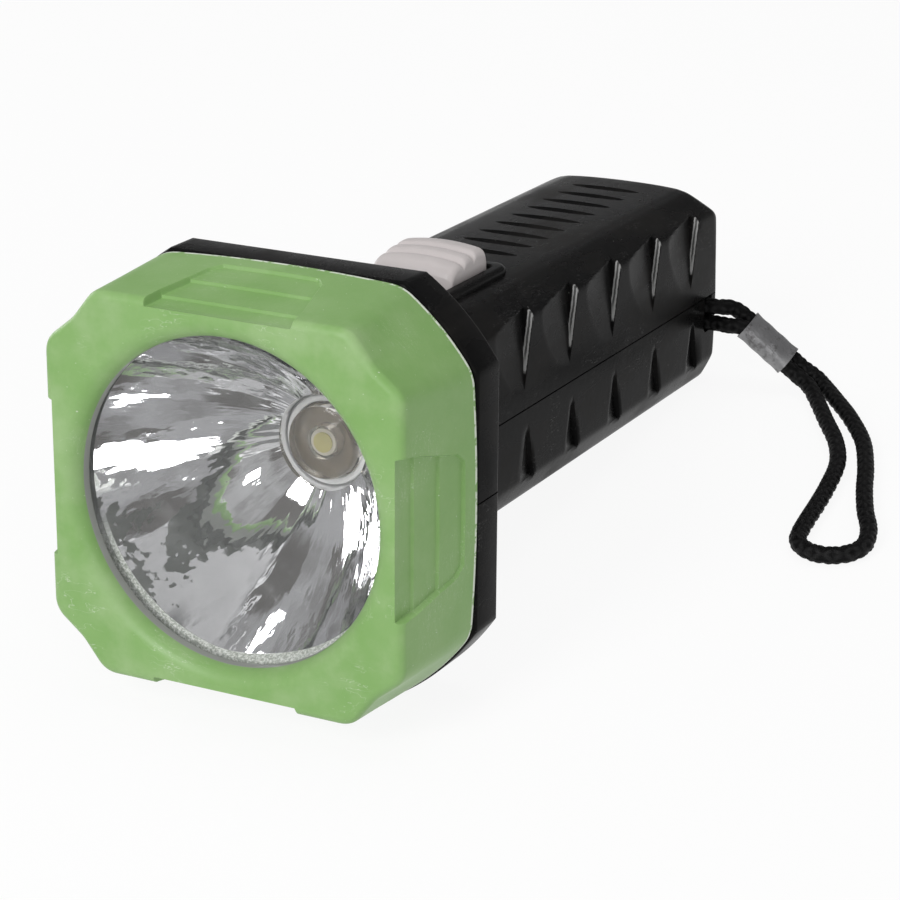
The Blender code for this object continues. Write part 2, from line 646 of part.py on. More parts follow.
# The retainer clamps the board to the reflector's bosses
retainer_front = board_back + GAP
retainer_back = retainer_front + RETAINER_THICK
retainer = Shape().turned(((retainer_front, RETAINER_HOLE), (retainer_front, RETAINER_RADIUS),
                           (retainer_back, RETAINER_RADIUS), (retainer_back, RETAINER_HOLE)),
                          steps=ROUND_STEPS - SMALL_STEPS // 2).make("led_retainer", "black")
ears = Shape()
ear_holes = Shape()
boss_holes = Shape()
for side, hand in ((-1.0, "left"), (1.0, "right")):
    centre = (side * BOSS_OUT, 0.0)
    ears.turned(pin(retainer_front, retainer_back, RETAINER_EAR), centre, steps=SMALL_STEPS)
    ear_holes.turned(pin(retainer_front - CUT_PAST, retainer_back + CUT_PAST, SMALL_SHANK + GAP), centre,
                     steps=SMALL_STEPS)
    boss_holes.turned(pin(MIRROR_THROAT - SMALL_GRIP, MIRROR_THROAT + CUT_PAST, SMALL_SHANK + GAP), centre,
                      steps=SMALL_STEPS)
    head_front = retainer_back + GAP
    head_back = head_front + SMALL_HEAD_THICK
    tip = MIRROR_THROAT - SMALL_GRIP + GAP
    screw = Shape().turned(((tip, 0.0), (tip, SMALL_SHANK), (head_front, SMALL_SHANK), (head_front, SMALL_HEAD),
                            (head_back, SMALL_HEAD), (head_back, 0.0)), centre, steps=SMALL_STEPS)
    screw.make("retainer_screw_" + hand, "steel")
add(retainer, ears.make("retainer_ears"))
carve(retainer, ear_holes.make("retainer_holes"))
carve(reflector, boss_holes.make("reflector_holes"))

# Housing: the outer handle that both halves share, drawn once round from the right of the parting line
section = [(HANDLE_HALF, 0.0), *UPPER_OUTLINE, (0.0, HANDLE_TOP)]
section += [(-x, z) for x, z in reversed(UPPER_OUTLINE)] + [(-HANDLE_HALF, 0.0)]
section += [(-x, -z) for x, z in reversed(LOWER_OUTLINE)] + [(x, -z) for x, z in LOWER_OUTLINE]
handle_front = between(COLLAR_FRONT, COLLAR_BACK, 0.5)
rings = [[(x, handle_front, z) for x, z in section]]
for step in range(LIP_STEPS + 1):
    turn = math.pi / 2.0 * step / LIP_STEPS
    ring = []
    for x, z in section:
        height = HANDLE_TOP if z > 0.0 else HANDLE_BOTTOM
        end_round = TAIL_TOP_ROUND if z > 0.0 else TAIL_BOTTOM_ROUND
        ease = between(TAIL_SIDE_ROUND, end_round, abs(z) / height)
        narrow = 1.0 - TAIL_SIDE_ROUND * (1.0 - math.cos(turn)) / HANDLE_HALF
        flatten = 1.0 - end_round * (1.0 - math.cos(turn)) / height
        ring.append((x * narrow, TAIL_END - ease * (1.0 - math.sin(turn)), z * flatten))
    rings.append(ring)
upper = Shape().loft(rings).make("upper_housing", "black")
lower = Shape().loft(rings).make("lower_housing", "black")

spigot_half = between(BEZEL_FRONT_HALF, BEZEL_REAR_HALF, SPIGOT_FRONT / BEZEL_DEPTH) - BEZEL_WALL - GAP
spigot_back_half = BEZEL_REAR_HALF - BEZEL_WALL - GAP
spigot_cut = between(BEZEL_FRONT_CUT, BEZEL_REAR_CUT, SPIGOT_FRONT / BEZEL_DEPTH) - LIP_CUT_SHARE * BEZEL_WALL
spigot_back_cut = BEZEL_REAR_CUT - LIP_CUT_SHARE * BEZEL_WALL
collar_rings = [
    inset_ring(SPIGOT_FRONT, spigot_half, 0.0, spigot_cut, 0.0, SPIGOT_NOSE),
    head_ring(SPIGOT_FRONT + SPIGOT_NOSE, spigot_half, 0.0, spigot_cut, 0.0),
    head_ring(COLLAR_FRONT, spigot_back_half, 0.0, spigot_back_cut, 0.0),
    inset_ring(COLLAR_FRONT, COLLAR_HALF, 0.0, COLLAR_CUT, 0.0, COLLAR_EDGE, COLLAR_CORNER_BULGE),
    head_ring(COLLAR_FRONT + COLLAR_EDGE, COLLAR_HALF, 0.0, COLLAR_CUT, 0.0, COLLAR_CORNER_BULGE),
    head_ring(COLLAR_BACK - COLLAR_EDGE, COLLAR_HALF, 0.0, COLLAR_CUT, 0.0, COLLAR_CORNER_BULGE),
    inset_ring(COLLAR_BACK, COLLAR_HALF, 0.0, COLLAR_CUT, 0.0, COLLAR_EDGE, COLLAR_CORNER_BULGE),
]
collar = Shape().loft(collar_rings).make("collar_solid")

# Snap noses on the spigot and the windows that they reach in the bezel's skirt
snaps = Shape()
windows = Shape()
for turn in range(4):
    for offset in ((0.0,) if turn % 2 == 0 else (-SNAP_OFFSET, SNAP_OFFSET)):
        for grow, rise, shape in ((0.0, SNAP_RISE, snaps), (GAP, SNAP_RISE + GAP, windows)):
            out = between(BEZEL_FRONT_HALF, BEZEL_REAR_HALF, SNAP_START / BEZEL_DEPTH) - BEZEL_WALL
            low = (-SNAP_HALF_WIDTH - grow + offset, out - SPIGOT_WALL / 2.0)
            high = (SNAP_HALF_WIDTH + grow + offset, out + rise)
            ring = [(low[0], low[1]), (high[0], low[1]), (high[0], high[1]), (low[0], high[1])]
            for _ in range(turn):
                ring = [(z, -x) for x, z in ring]
            start = SNAP_START - grow
            shape.loft([[(x, y, z) for x, z in ring] for y in (start, start + SNAP_LENGTH + 2.0 * grow)])
carve(bezel, windows.make("bezel_windows"))
snap_noses = snaps.make("snap_noses")

# Hollows
inner_half = min(spigot_half, spigot_back_half) - SPIGOT_WALL
head_hollow = Shape().loft([
    head_ring(SPIGOT_FRONT - CUT_PAST, inner_half, 0.0, spigot_cut, 0.0),
    head_ring(COLLAR_BACK - COLLAR_BACK_WALL, inner_half, 0.0, spigot_cut, 0.0)]).make("head_hollow")
neck_front = COLLAR_BACK - COLLAR_BACK_WALL - CUT_PAST
neck_bore = Shape().turned(((neck_front, 0.0), (neck_front, NECK_BORE_FRONT_RADIUS),
                            (COLLAR_BACK, NECK_BORE_RADIUS), (COLLAR_BACK + NECK_BORE_LENGTH, NECK_BORE_RADIUS),
                            (COLLAR_BACK + NECK_BORE_LENGTH, 0.0))).make("neck_bore")
hollow_front = COLLAR_BACK - COLLAR_BACK_WALL - CUT_PAST
hollow_back = TAIL_END - TAIL_WALL
small = 1.0 - HOLLOW_REAR_ROUND / HANDLE_TOP
handle_hollow = Shape().loft([
    [(x, hollow_front, z) for x, z in HOLLOW_OUTLINE],
    [(x, hollow_back - HOLLOW_REAR_ROUND, z) for x, z in HOLLOW_OUTLINE],
    [(x, hollow_back, z * small) for x, z in HOLLOW_OUTLINE]]).make("handle_hollow")
above = Shape().block((-CLEARLY_PAST * 2.0, -CLEARLY_PAST, -HALF_GAP),
                      (CLEARLY_PAST * 2.0, TAIL_END + CLEARLY_PAST, CLEARLY_PAST * 2.0)).make("above_parting")
below = Shape().block((-CLEARLY_PAST * 2.0, -CLEARLY_PAST, -CLEARLY_PAST * 2.0),
                      (CLEARLY_PAST * 2.0, TAIL_END + CLEARLY_PAST, HALF_GAP)).make("below_parting")

# The switch's rim stands on the upper half, its pocket and slot go in from above
pocket_half = THUMB_HALF_WIDTH + GAP * 2.0
thumb_back = THUMB_FRONT + THUMB_OUTLINE[-1][0]
pocket_front = THUMB_FRONT - SLIDE_TRAVEL - POCKET_SPARE
pocket_back = thumb_back + POCKET_SPARE


def rounded_plan(half, front, back, corner):
    """Plan outline of a rounded rectangle as (x, y) points."""
    plan = []
    for sign_x, sign_y, start in ((1.0, 1.0, 0.0), (-1.0, 1.0, 90.0), (-1.0, -1.0, 180.0), (1.0, -1.0, 270.0)):
        centre_y = back - corner if sign_y > 0.0 else front + corner
        for step in range(LIP_STEPS + 1):
            angle = math.radians(start + 90.0 * step / LIP_STEPS)
            plan.append((sign_x * (half - corner) + corner * math.cos(angle), centre_y + corner * math.sin(angle)))
    return plan


def plan_prism(half, front, back, corner, low, high):
    plan = rounded_plan(half, front, back, corner)
    return Shape().loft([[(x, y, z) for x, y in plan] for z in (low, high)])


rim_front = pocket_front - RIM_WALL
rim_back = pocket_back + RIM_WALL
rim_rings = []
for step in range(LIP_STEPS + 1):
    turn = math.pi / 2.0 * step / LIP_STEPS
    inset = RIM_ROUND * (1.0 - math.cos(turn))
    z = RIM_TOP - RIM_ROUND * (1.0 - math.sin(turn))
    plan = rounded_plan(RIM_OUTER_HALF - inset, rim_front + inset, rim_back - inset, RIM_CORNER - inset)
    rim_rings.append([(x, y, z) for x, y in plan])
rim_foot = [(x, y, between(POCKET_FLOOR, HANDLE_TOP, -0.5))
            for x, y in rounded_plan(RIM_OUTER_HALF, rim_front, rim_back, RIM_CORNER)]
rim = Shape().loft([rim_foot, *rim_rings]).make("switch_rim")
pocket = plan_prism(pocket_half, pocket_front, pocket_back, POCKET_CORNER, POCKET_FLOOR,
                    RIM_TOP + CUT_PAST).make("switch_pocket")
stem_middle = THUMB_FRONT + STEM_OFFSET
slot_front = stem_middle - SLIDE_TRAVEL - STEM_HALF - SLOT_SPARE
slot_back = stem_middle + STEM_HALF + SLOT_SPARE
stem_slot = Shape().block((-SLOT_HALF_WIDTH, slot_front, BASE_TOP),
                          (SLOT_HALF_WIDTH, slot_back, RIM_TOP)).make("stem_slot")

# Grip notches, one solid a notch on both sides
sharp = Shape()
soft = Shape()
for index in range(NOTCH_COUNT):
    for side in (-1.0, 1.0):
        for first, heights, starts, risers, depths, shape in (
                (NOTCH_FIRST, NOTCH_HEIGHTS, NOTCH_STARTS, NOTCH_RISERS, NOTCH_DEPTHS, sharp),
                (SOFT_FIRST, SOFT_HEIGHTS, SOFT_STARTS, SOFT_RISERS, SOFT_DEPTHS, soft)):
            at = first + index * NOTCH_PITCH
            rings = []
            for z, start, riser, depth in zip(heights, starts, risers, depths):
                outside = HANDLE_HALF + CUT_PAST
                rings.append([(side * outside, at + start - NOTCH_FAINT, z),
                              (side * (HANDLE_HALF + NOTCH_FAINT / 4.0), at + start, z),
                              (side * (HANDLE_HALF - depth), at + riser, z),
                              (side * outside, at + riser + NOTCH_FAINT, z)])
            shape.loft(rings)
sharp_notches = sharp.make("sharp_notches")
soft_notches = soft.make("soft_notches")

grooves = Shape()
for index in range(GROOVE_COUNT):
    at = GROOVE_FIRST + index * GROOVE_PITCH
    rings = []
    for share in GROOVE_SHARES:
        deep = GROOVE_DEPTH * (1.0 - share * share)
        wide = GROOVE_HALF_WIDTH * math.sqrt(1.0 - 0.9 * share * share)
        roof = HANDLE_TOP + CUT_PAST
        rings.append([(GROOVE_HALF_LENGTH * share, y, z) for y, z in (
            (at - wide, roof), (at - wide, HANDLE_TOP + GAP), (at, HANDLE_TOP - deep),
            (at + wide * 0.5, HANDLE_TOP + GAP), (at + wide * 0.5, roof))])
    grooves.loft(rings)
top_grooves = grooves.make("top_grooves")

# Screw posts of the halves, with the screws from the underside
lower_posts = Shape()
upper_posts = Shape()
lower_holes = Shape()
upper_holes = Shape()
for (across, along), end in ((FRONT_SCREW, "front"), (REAR_SCREW, "rear")):
    for side, hand in ((-1.0, "left"), (1.0, "right")):
        centre = (side * across, along)
        head_top = -HANDLE_BOTTOM + SCREW_SINK
        lower_posts.turned(pin(-HANDLE_BOTTOM + SCREW_SINK, -GAP * 2.0, POST_RADIUS), centre, "Z", SMALL_STEPS)
        upper_posts.turned(pin(GAP * 2.0, POST_TOP, POST_RADIUS), centre, "Z", SMALL_STEPS)
        hole = SCREW_SHANK + GAP
        wide = SCREW_HEAD + GAP
        lower_holes.turned(((-HANDLE_BOTTOM - CUT_PAST, 0.0), (-HANDLE_BOTTOM - CUT_PAST, wide),
                            (head_top, wide), (head_top, hole), (CUT_PAST, hole), (CUT_PAST, 0.0)),
                           centre, "Z", SMALL_STEPS)
        upper_holes.turned(pin(-CUT_PAST, SCREW_GRIP + GAP, hole), centre, "Z", SMALL_STEPS)
        under = head_top - GAP
        screw = Shape().turned(((under - SCREW_HEAD_THICK, 0.0), (under - SCREW_HEAD_THICK, SCREW_HEAD),
                                (under, SCREW_HEAD), (under, SCREW_SHANK), (SCREW_GRIP, SCREW_SHANK),
                                (SCREW_GRIP, 0.0)), centre, "Z", SMALL_STEPS)
        screw.make("housing_screw_" + end + "_" + hand, "steel")

# Bosses for the slide switch and ribs for the battery
ear_bosses = Shape()
ear_boss_holes = Shape()
ear_places = (BASE_FRONT - EAR_LENGTH / 2.0, BASE_FRONT + BASE_LENGTH + EAR_LENGTH / 2.0)
for along, end in zip(ear_places, ("front", "rear")):
    centre = (0.0, along)
    ear_bosses.turned(pin(BASE_TOP + GAP, POCKET_FLOOR, EAR_BOSS_RADIUS), centre, "Z", SMALL_STEPS)
    ear_boss_holes.turned(pin(BASE_TOP - CUT_PAST, BASE_TOP + SMALL_GRIP, SMALL_SHANK + GAP), centre, "Z",
                          SMALL_STEPS)
    head_top = BASE_TOP - EAR_THICK - GAP
    screw = Shape().turned(((head_top - SMALL_HEAD_THICK, 0.0), (head_top - SMALL_HEAD_THICK, SMALL_HEAD),
                            (head_top, SMALL_HEAD), (head_top, SMALL_SHANK),
                            (BASE_TOP + SMALL_GRIP - GAP, SMALL_SHANK), (BASE_TOP + SMALL_GRIP - GAP, 0.0)),
                           centre, "Z", SMALL_STEPS)
    screw.make("switch_screw_" + end, "steel")
battery_back = BATTERY_FRONT + BATTERY_LENGTH
ribs = Shape()
for start in (BATTERY_FRONT - GAP - RIB_THICK, battery_back + GAP):
    ribs.block((-RIB_HALF_WIDTH, start, -HANDLE_BOTTOM + GAP * 4.0), (RIB_HALF_WIDTH, start + RIB_THICK, RIB_TOP))

# Holes of the tail: strap slot, charging socket and lamp
strap_slot = Shape().block(
    (BATTERY_HALF_WIDTH, SLOT_CENTRE - SLOT_ACROSS / 2.0, SLOT_TOP_Z - STRAP_SPREAD - STRAP_RADIUS - GAP),
    (HANDLE_HALF + CUT_PAST, SLOT_CENTRE + SLOT_ACROSS / 2.0, CUT_PAST)).make("strap_slot")
socket_hole = Shape().turned(pin(hollow_back - CUT_PAST * 2.0, TAIL_END + CUT_PAST, SOCKET_BARREL + GAP),
                             (SOCKET_X, SOCKET_Z), steps=SMALL_STEPS + 8).make("socket_hole")
lamp_hole = Shape().turned(pin(hollow_back - CUT_PAST * 2.0, TAIL_END + CUT_PAST, LAMP_RADIUS + GAP),
                           (LAMP_X, LAMP_Z), steps=SMALL_STEPS).make("lamp_hole")

for half, tools in (
        (upper, ((collar, "UNION"), (snap_noses, "UNION"), (rim, "UNION"), (below, "DIFFERENCE"),
                 (head_hollow, "DIFFERENCE"),
                 (neck_bore, "DIFFERENCE"), (handle_hollow, "DIFFERENCE"), (lamp_hole, "DIFFERENCE"),
                 (upper_posts.make("upper_posts"), "UNION"), (ear_bosses.make("ear_bosses"), "UNION"),
                 (pocket, "DIFFERENCE"), (stem_slot, "DIFFERENCE"), (sharp_notches, "DIFFERENCE"),
                 (top_grooves, "DIFFERENCE"), (upper_holes.make("upper_holes"), "DIFFERENCE"),
                 (ear_boss_holes.make("ear_boss_holes"), "DIFFERENCE"))),
        (lower, ((collar, "UNION"), (snap_noses, "UNION"), (head_hollow, "DIFFERENCE"),
                 (neck_bore, "DIFFERENCE"), (handle_hollow, "DIFFERENCE"),
                 (lower_posts.make("lower_posts"), "UNION"), (ribs.make("battery_ribs"), "UNION"),
                 (soft_notches, "DIFFERENCE"), (lower_holes.make("lower_holes"), "DIFFERENCE"),
                 (socket_hole, "DIFFERENCE"), (strap_slot, "DIFFERENCE"), (above, "DIFFERENCE")))):
    for tool, operation in tools:
        carve(half, tool, operation)

# Thumb slide with its stem
outline = [(THUMB_FRONT + y, z) for y, z in THUMB_OUTLINE]
rings = []
for share in CROWN_SHARES:
    drop = THUMB_CROWN * share * share
    rings.append([(THUMB_HALF_WIDTH * share, y, z - drop if z > outline[0][1] else z) for y, z in outline])
thumb = Shape().loft(rings).make("switch_thumb", "light")
soften(thumb, THUMB_ROUND, 2, 30.0)
stem = Shape().block((-STEM_HALF, stem_middle - STEM_HALF, STEM_BOTTOM),
                     (STEM_HALF, stem_middle + STEM_HALF, between(THUMB_OUTLINE[0][1], RIM_TOP, 0.5)))
add(thumb, stem.make("thumb_stem"))

# Slide switch body with its ears, channel and terminal holes
base_back = BASE_FRONT + BASE_LENGTH
base = Shape().block((-BASE_HALF_WIDTH, BASE_FRONT, BASE_BOTTOM),
                     (BASE_HALF_WIDTH, base_back, BASE_TOP)).make("switch_base", "black")
add(base, Shape().block((-EAR_BOSS_RADIUS - GAP, BASE_FRONT - EAR_LENGTH, BASE_TOP - EAR_THICK),
                        (EAR_BOSS_RADIUS + GAP, base_back + EAR_LENGTH, BASE_TOP)).make("switch_ears"))
carve(base, Shape().block((-CHANNEL_HALF_WIDTH, BASE_FRONT + CHANNEL_END, CHANNEL_FLOOR),
                          (CHANNEL_HALF_WIDTH, base_back - CHANNEL_END, BASE_TOP + CUT_PAST)).make("switch_channel"))
base_holes = Shape()
for along in ear_places:
    base_holes.turned(pin(BASE_TOP - EAR_THICK - CUT_PAST, BASE_TOP + CUT_PAST, SMALL_SHANK + GAP), (0.0, along),
                      "Z", SMALL_STEPS)
terminal_middle = stem_middle - SLIDE_TRAVEL / 2.0
for step, end in ((-1, "front"), (0, "middle"), (1, "rear")):
    at = terminal_middle + step * TERMINAL_PITCH
    across = TERMINAL_HALF_WIDTH + TERMINAL_SLACK
    ahead = TERMINAL_HALF_LENGTH + TERMINAL_SLACK
    base_holes.block((-across, at - ahead, BASE_BOTTOM - CUT_PAST), (across, at + ahead, CHANNEL_FLOOR + CUT_PAST))
    Shape().block((-TERMINAL_HALF_WIDTH, at - TERMINAL_HALF_LENGTH, TERMINAL_BOTTOM),
                  (TERMINAL_HALF_WIDTH, at + TERMINAL_HALF_LENGTH, TERMINAL_TOP)).make(
                      "switch_terminal_" + end, "brass")
carve(base, base_holes.make("switch_base_holes"))

# Moving parts under the thumb
carrier = Shape().block((-CARRIER_HALF_WIDTH, stem_middle - CARRIER_HALF_LENGTH, CARRIER_BOTTOM),
                        (CARRIER_HALF_WIDTH, stem_middle + CARRIER_HALF_LENGTH, CARRIER_TOP))
carrier = carrier.make("switch_carrier", "white")
stem_room = STEM_HALF + GAP
carve(carrier, Shape().block((-stem_room, stem_middle - stem_room, STEM_BOTTOM - GAP),
                             (stem_room, stem_middle + stem_room, CARRIER_TOP + CUT_PAST)).make("stem_socket"))
contact_top = CARRIER_BOTTOM - GAP
contact = Shape().block((-CONTACT_HALF_WIDTH, stem_middle - CONTACT_HALF_LENGTH, contact_top - CONTACT_THICK),
                        (CONTACT_HALF_WIDTH, stem_middle + CONTACT_HALF_LENGTH, contact_top))
contact.make("switch_contact", "brass")

# Battery, its tags and its foam
battery = Shape().block((-BATTERY_HALF_WIDTH, BATTERY_FRONT, BATTERY_BOTTOM),
                        (BATTERY_HALF_WIDTH, battery_back, BATTERY_TOP)).make("battery", "blue")
soften(battery, BATTERY_EDGE)
for side, pole in ((-1.0, "minus"), (1.0, "plus")):
    middle = side * TAG_OUT
    Shape().block((middle - TAG_HALF_WIDTH, BATTERY_FRONT - GAP - TAG_LENGTH, TAG_HEIGHT),
                  (middle + TAG_HALF_WIDTH, BATTERY_FRONT - GAP, TAG_HEIGHT + TAG_THICK)).make(
                      "battery_terminal_" + pole, "steel")
Shape().block((-PAD_HALF_WIDTH, BATTERY_FRONT + PAD_INSET, BATTERY_TOP + GAP),
              (PAD_HALF_WIDTH, battery_back - PAD_INSET, PAD_TOP)).make("battery_pad", "foam")

# Charging card with its parts, socket and lamp
card_back = CARD_FRONT + CARD_THICK
Shape().block((-CARD_HALF_WIDTH, CARD_FRONT, CARD_BOTTOM),
              (CARD_HALF_WIDTH, card_back, CARD_TOP)).make("charge_board", "card")
parts_front = card_back + GAP
Shape().turned(pin(parts_front, parts_front + CAPACITOR_LENGTH, CAPACITOR_RADIUS), (CAPACITOR_X, CAPACITOR_Z),
               steps=SMALL_STEPS).make("board_capacitor", "blue")
Shape().block((CHIP_X - CHIP_HALF_WIDTH, parts_front, CHIP_Z - CHIP_HALF_HEIGHT),
              (CHIP_X + CHIP_HALF_WIDTH, parts_front + CHIP_THICK, CHIP_Z + CHIP_HALF_HEIGHT)).make(
                  "board_regulator", "black")
Shape().turned(pin(-RESISTOR_HALF, RESISTOR_HALF, RESISTOR_RADIUS), (RESISTOR_X, parts_front + RESISTOR_OFF), "Z",
               SMALL_STEPS).make("board_resistor", "light")
socket = Shape().block((SOCKET_X - SOCKET_HALF, parts_front, SOCKET_Z - SOCKET_HALF),
                       (SOCKET_X + SOCKET_HALF, hollow_back - GAP, SOCKET_Z + SOCKET_HALF))
socket = socket.make("charge_socket", "black")
barrel_end = TAIL_END - SOCKET_RECESS
add(socket, Shape().turned(pin(hollow_back - CUT_PAST, barrel_end, SOCKET_BARREL), (SOCKET_X, SOCKET_Z),
                           steps=SMALL_STEPS + 8).make("socket_barrel"))
carve(socket, Shape().turned(pin(barrel_end - SOCKET_BORE_DEPTH, barrel_end + CUT_PAST, SOCKET_BORE),
                             (SOCKET_X, SOCKET_Z), steps=SMALL_STEPS).make("socket_bore"))
Shape().turned(pin(barrel_end - SOCKET_BORE_DEPTH + GAP, barrel_end - PIN_SHORT, PIN_RADIUS), (SOCKET_X, SOCKET_Z),
               steps=SMALL_STEPS).make("socket_pin", "steel")
lamp_end = TAIL_END + LAMP_PROUD
lamp_profile = ((LAMP_FRONT, 0.0), (LAMP_FRONT, LAMP_BASE_RADIUS), (LAMP_FRONT + LAMP_BASE_THICK, LAMP_BASE_RADIUS),
                (LAMP_FRONT + LAMP_BASE_THICK, LAMP_RADIUS), (lamp_end - LAMP_RADIUS, LAMP_RADIUS),
                (lamp_end - LAMP_RADIUS * 0.5, LAMP_RADIUS * 0.87), (lamp_end - LAMP_RADIUS * 0.13, LAMP_RADIUS * 0.5),
                (lamp_end, 0.0))
Shape().turned(lamp_profile, (LAMP_X, LAMP_Z), steps=SMALL_STEPS).make("charge_lamp", "red")


def smooth_route(points, spacing):
    """Points about spacing apart on a smooth curve through the given ones."""
    line = [Vector(point) for point in points]
    line = [line[0] * 2.0 - line[1], *line, line[-1] * 2.0 - line[-2]]
    route = []
    for index in range(1, len(line) - 2):
        before, start, end, after = line[index - 1:index + 3]
        steps = max(1, round((end - start).length / spacing))
        for step in range(steps):
            t = step / steps
            route.append(((start * 2.0) + (end - before) * t
                          + (before * 2.0 - start * 5.0 + end * 4.0 - after) * t ** 2
                          + (start * 3.0 - before - end * 3.0 + after) * t ** 3) * 0.5)
    route.append(line[-2])
    return route


def tube(name, routes, radius, look, resolution=2):
    """One node with a round tube along each route."""
    curve = bpy.data.curves.new(name, "CURVE")
    curve.dimensions = "3D"
    curve.bevel_depth = radius
    curve.bevel_resolution = resolution
    curve.use_fill_caps = True
    for route in routes:
        spline = curve.splines.new("POLY")
        spline.points.add(len(route) - 1)
        for point, position in zip(spline.points, route):
            point.co = (*position, 1.0)
    guide = bpy.data.objects.new(name + "_guide", curve)
    cutters.objects.link(guide)
    guide.hide_render = True
    guide.display_type = "WIRE"
    bpy.context.view_layer.update()
    mesh = bpy.data.meshes.new_from_object(guide.evaluated_get(bpy.context.evaluated_depsgraph_get()))
    bpy.data.objects.remove(guide, do_unlink=True)
    work = bmesh.new()
    work.from_mesh(mesh)
    bmesh.ops.remove_doubles(work, verts=work.verts, dist=radius / 1000.0)
    bmesh.ops.recalc_face_normals(work, faces=work.faces)
    work.to_mesh(mesh)
    work.free()
    mesh.name = name
    mesh.materials.clear()
    mesh.shade_smooth()
    return place(name, mesh, look)


# Wrist strap: two strands from the anchor through the slot and the crimp, joined by the bight
lie = STRAP_RADIUS + FLOOR_GAP
crimp_start = Vector(on_table(*CRIMP_START))
crimp_end = Vector(on_table(*CRIMP_END))
crimp_axis = (crimp_end - crimp_start).normalized()
level_side = Vector((-crimp_axis.y, crimp_axis.x, 0.0)).normalized()
crimp_side = level_side * math.cos(CRIMP_ROLL) + crimp_axis.cross(level_side) * math.sin(CRIMP_ROLL)
upper_z = SLOT_TOP_Z
lower_z = SLOT_TOP_Z - STRAP_SPREAD
inner_end = ANCHOR_X + GAP * 2.0
lead_out = crimp_end + crimp_axis * STRAP_RADIUS * 2.0


def strand_start(z, side):
    """From the anchor to just past the crimp, side giving which way the strand passes in it."""
    offset = crimp_side * side * CRIMP_SPREAD / 2.0
    mouth = Vector((HANDLE_HALF + STRAP_RADIUS, SLOT_CENTRE + HALF_GAP, z))
    middle = Vector((mouth.x, mouth.y, (upper_z + lower_z) / 2.0 + TWIST_RISE * 2.0))
    twist = (crimp_side + Vector((0.0, 0.0, 1.0))).normalized() * side * TWIST_SPREAD / 2.0
    return [Vector((inner_end, ANCHOR_Y, z)), Vector((HANDLE_HALF - STRAP_RADIUS * 3.0, SLOT_CENTRE, z)), mouth,
            between(middle, crimp_start, 0.5) + twist, crimp_start + offset,
            between(crimp_start, crimp_end, 0.5) + offset, crimp_end + offset, lead_out + offset]


near_start = strand_start(lower_z, -1.0)
far_start = strand_start(upper_z, 1.0)
strap_route = near_start + [on_table(*NEAR_DESCENT)]
strap_route += [on_table(x, y, lie) for x, y in NEAR_STRAND + BIGHT + FAR_STRAND]
strap_route += [on_table(*FAR_DESCENT)] + far_start[::-1]
tube("strap_cord", [smooth_route(strap_route, STRAP_SAMPLE)], STRAP_RADIUS, "cord")

# Crimp: an oval sleeve round both strands
crimp_up = crimp_axis.cross(crimp_side).normalized()


def oval(centre, grow):
    """Oval round both strands at this place, grow outside them."""
    ring = []
    for step in range(SMALL_STEPS):
        angle = 2.0 * math.pi * (step + 0.5) / SMALL_STEPS
        shift = math.copysign(CRIMP_SPREAD / 2.0, math.cos(angle))
        reach = STRAP_RADIUS + grow
        ring.append(centre + crimp_side * (shift + reach * math.cos(angle)) + crimp_up * reach * math.sin(angle))
    return ring


crimp = Shape().loft([oval(crimp_start, CRIMP_SLACK + CRIMP_WALL),
                      oval(crimp_end, CRIMP_SLACK + CRIMP_WALL)]).make("strap_crimp", "crimp")
carve(crimp, Shape().loft([oval(crimp_start - crimp_axis * CUT_PAST, CRIMP_SLACK),
                           oval(crimp_end + crimp_axis * CUT_PAST, CRIMP_SLACK)]).make("crimp_bore"))

# Anchor sleeve that holds the strap's two ends inside the tail
anchor_reach = STRAP_RADIUS + GAP
anchor = Shape().block(
    (ANCHOR_X, ANCHOR_Y - anchor_reach - ANCHOR_WALL, lower_z - anchor_reach - ANCHOR_WALL),
    (ANCHOR_X + ANCHOR_LENGTH, ANCHOR_Y + anchor_reach + ANCHOR_WALL, -GAP)).make("strap_anchor", "steel")
carve(anchor, Shape().block(
    (ANCHOR_X + GAP, ANCHOR_Y - anchor_reach, lower_z - anchor_reach),
    (ANCHOR_X + ANCHOR_LENGTH + CUT_PAST, ANCHOR_Y + anchor_reach, upper_z + anchor_reach)).make("anchor_bore"))


# Wires between the battery, the switch, the light source and the charging card
touch = WIRE_RADIUS + GAP
tag_under = TAG_HEIGHT - touch
tag_over = TAG_HEIGHT + TAG_THICK + touch
tag_tip = BATTERY_FRONT - TAG_LENGTH / 2.0
terminal_under = TERMINAL_BOTTOM - touch
board_reach = board_back + touch
card_reach = CARD_FRONT - touch
rear_terminal = (0.0, terminal_middle + TERMINAL_PITCH, terminal_under)
middle_terminal = (0.0, terminal_middle, terminal_under)
tube("wire_switch", [smooth_route([(TAG_OUT, tag_tip, tag_under), *SWITCH_WIRE_WAY, rear_terminal], STRAP_SAMPLE)],
     WIRE_RADIUS, "red", 1)
tube("wire_led_plus", [smooth_route([middle_terminal, *LED_WIRE_WAY,
                                     (BOARD_WIRE_ACROSS, board_reach, BOARD_WIRE_UP)], STRAP_SAMPLE)],
     WIRE_RADIUS, "red", 1)
tube("wire_led_minus", [smooth_route([(-TAG_OUT, tag_tip, tag_under), *RETURN_WIRE_WAY,
                                      (-BOARD_WIRE_ACROSS, board_reach, -BOARD_WIRE_UP)], STRAP_SAMPLE)],
     WIRE_RADIUS, "black", 1)
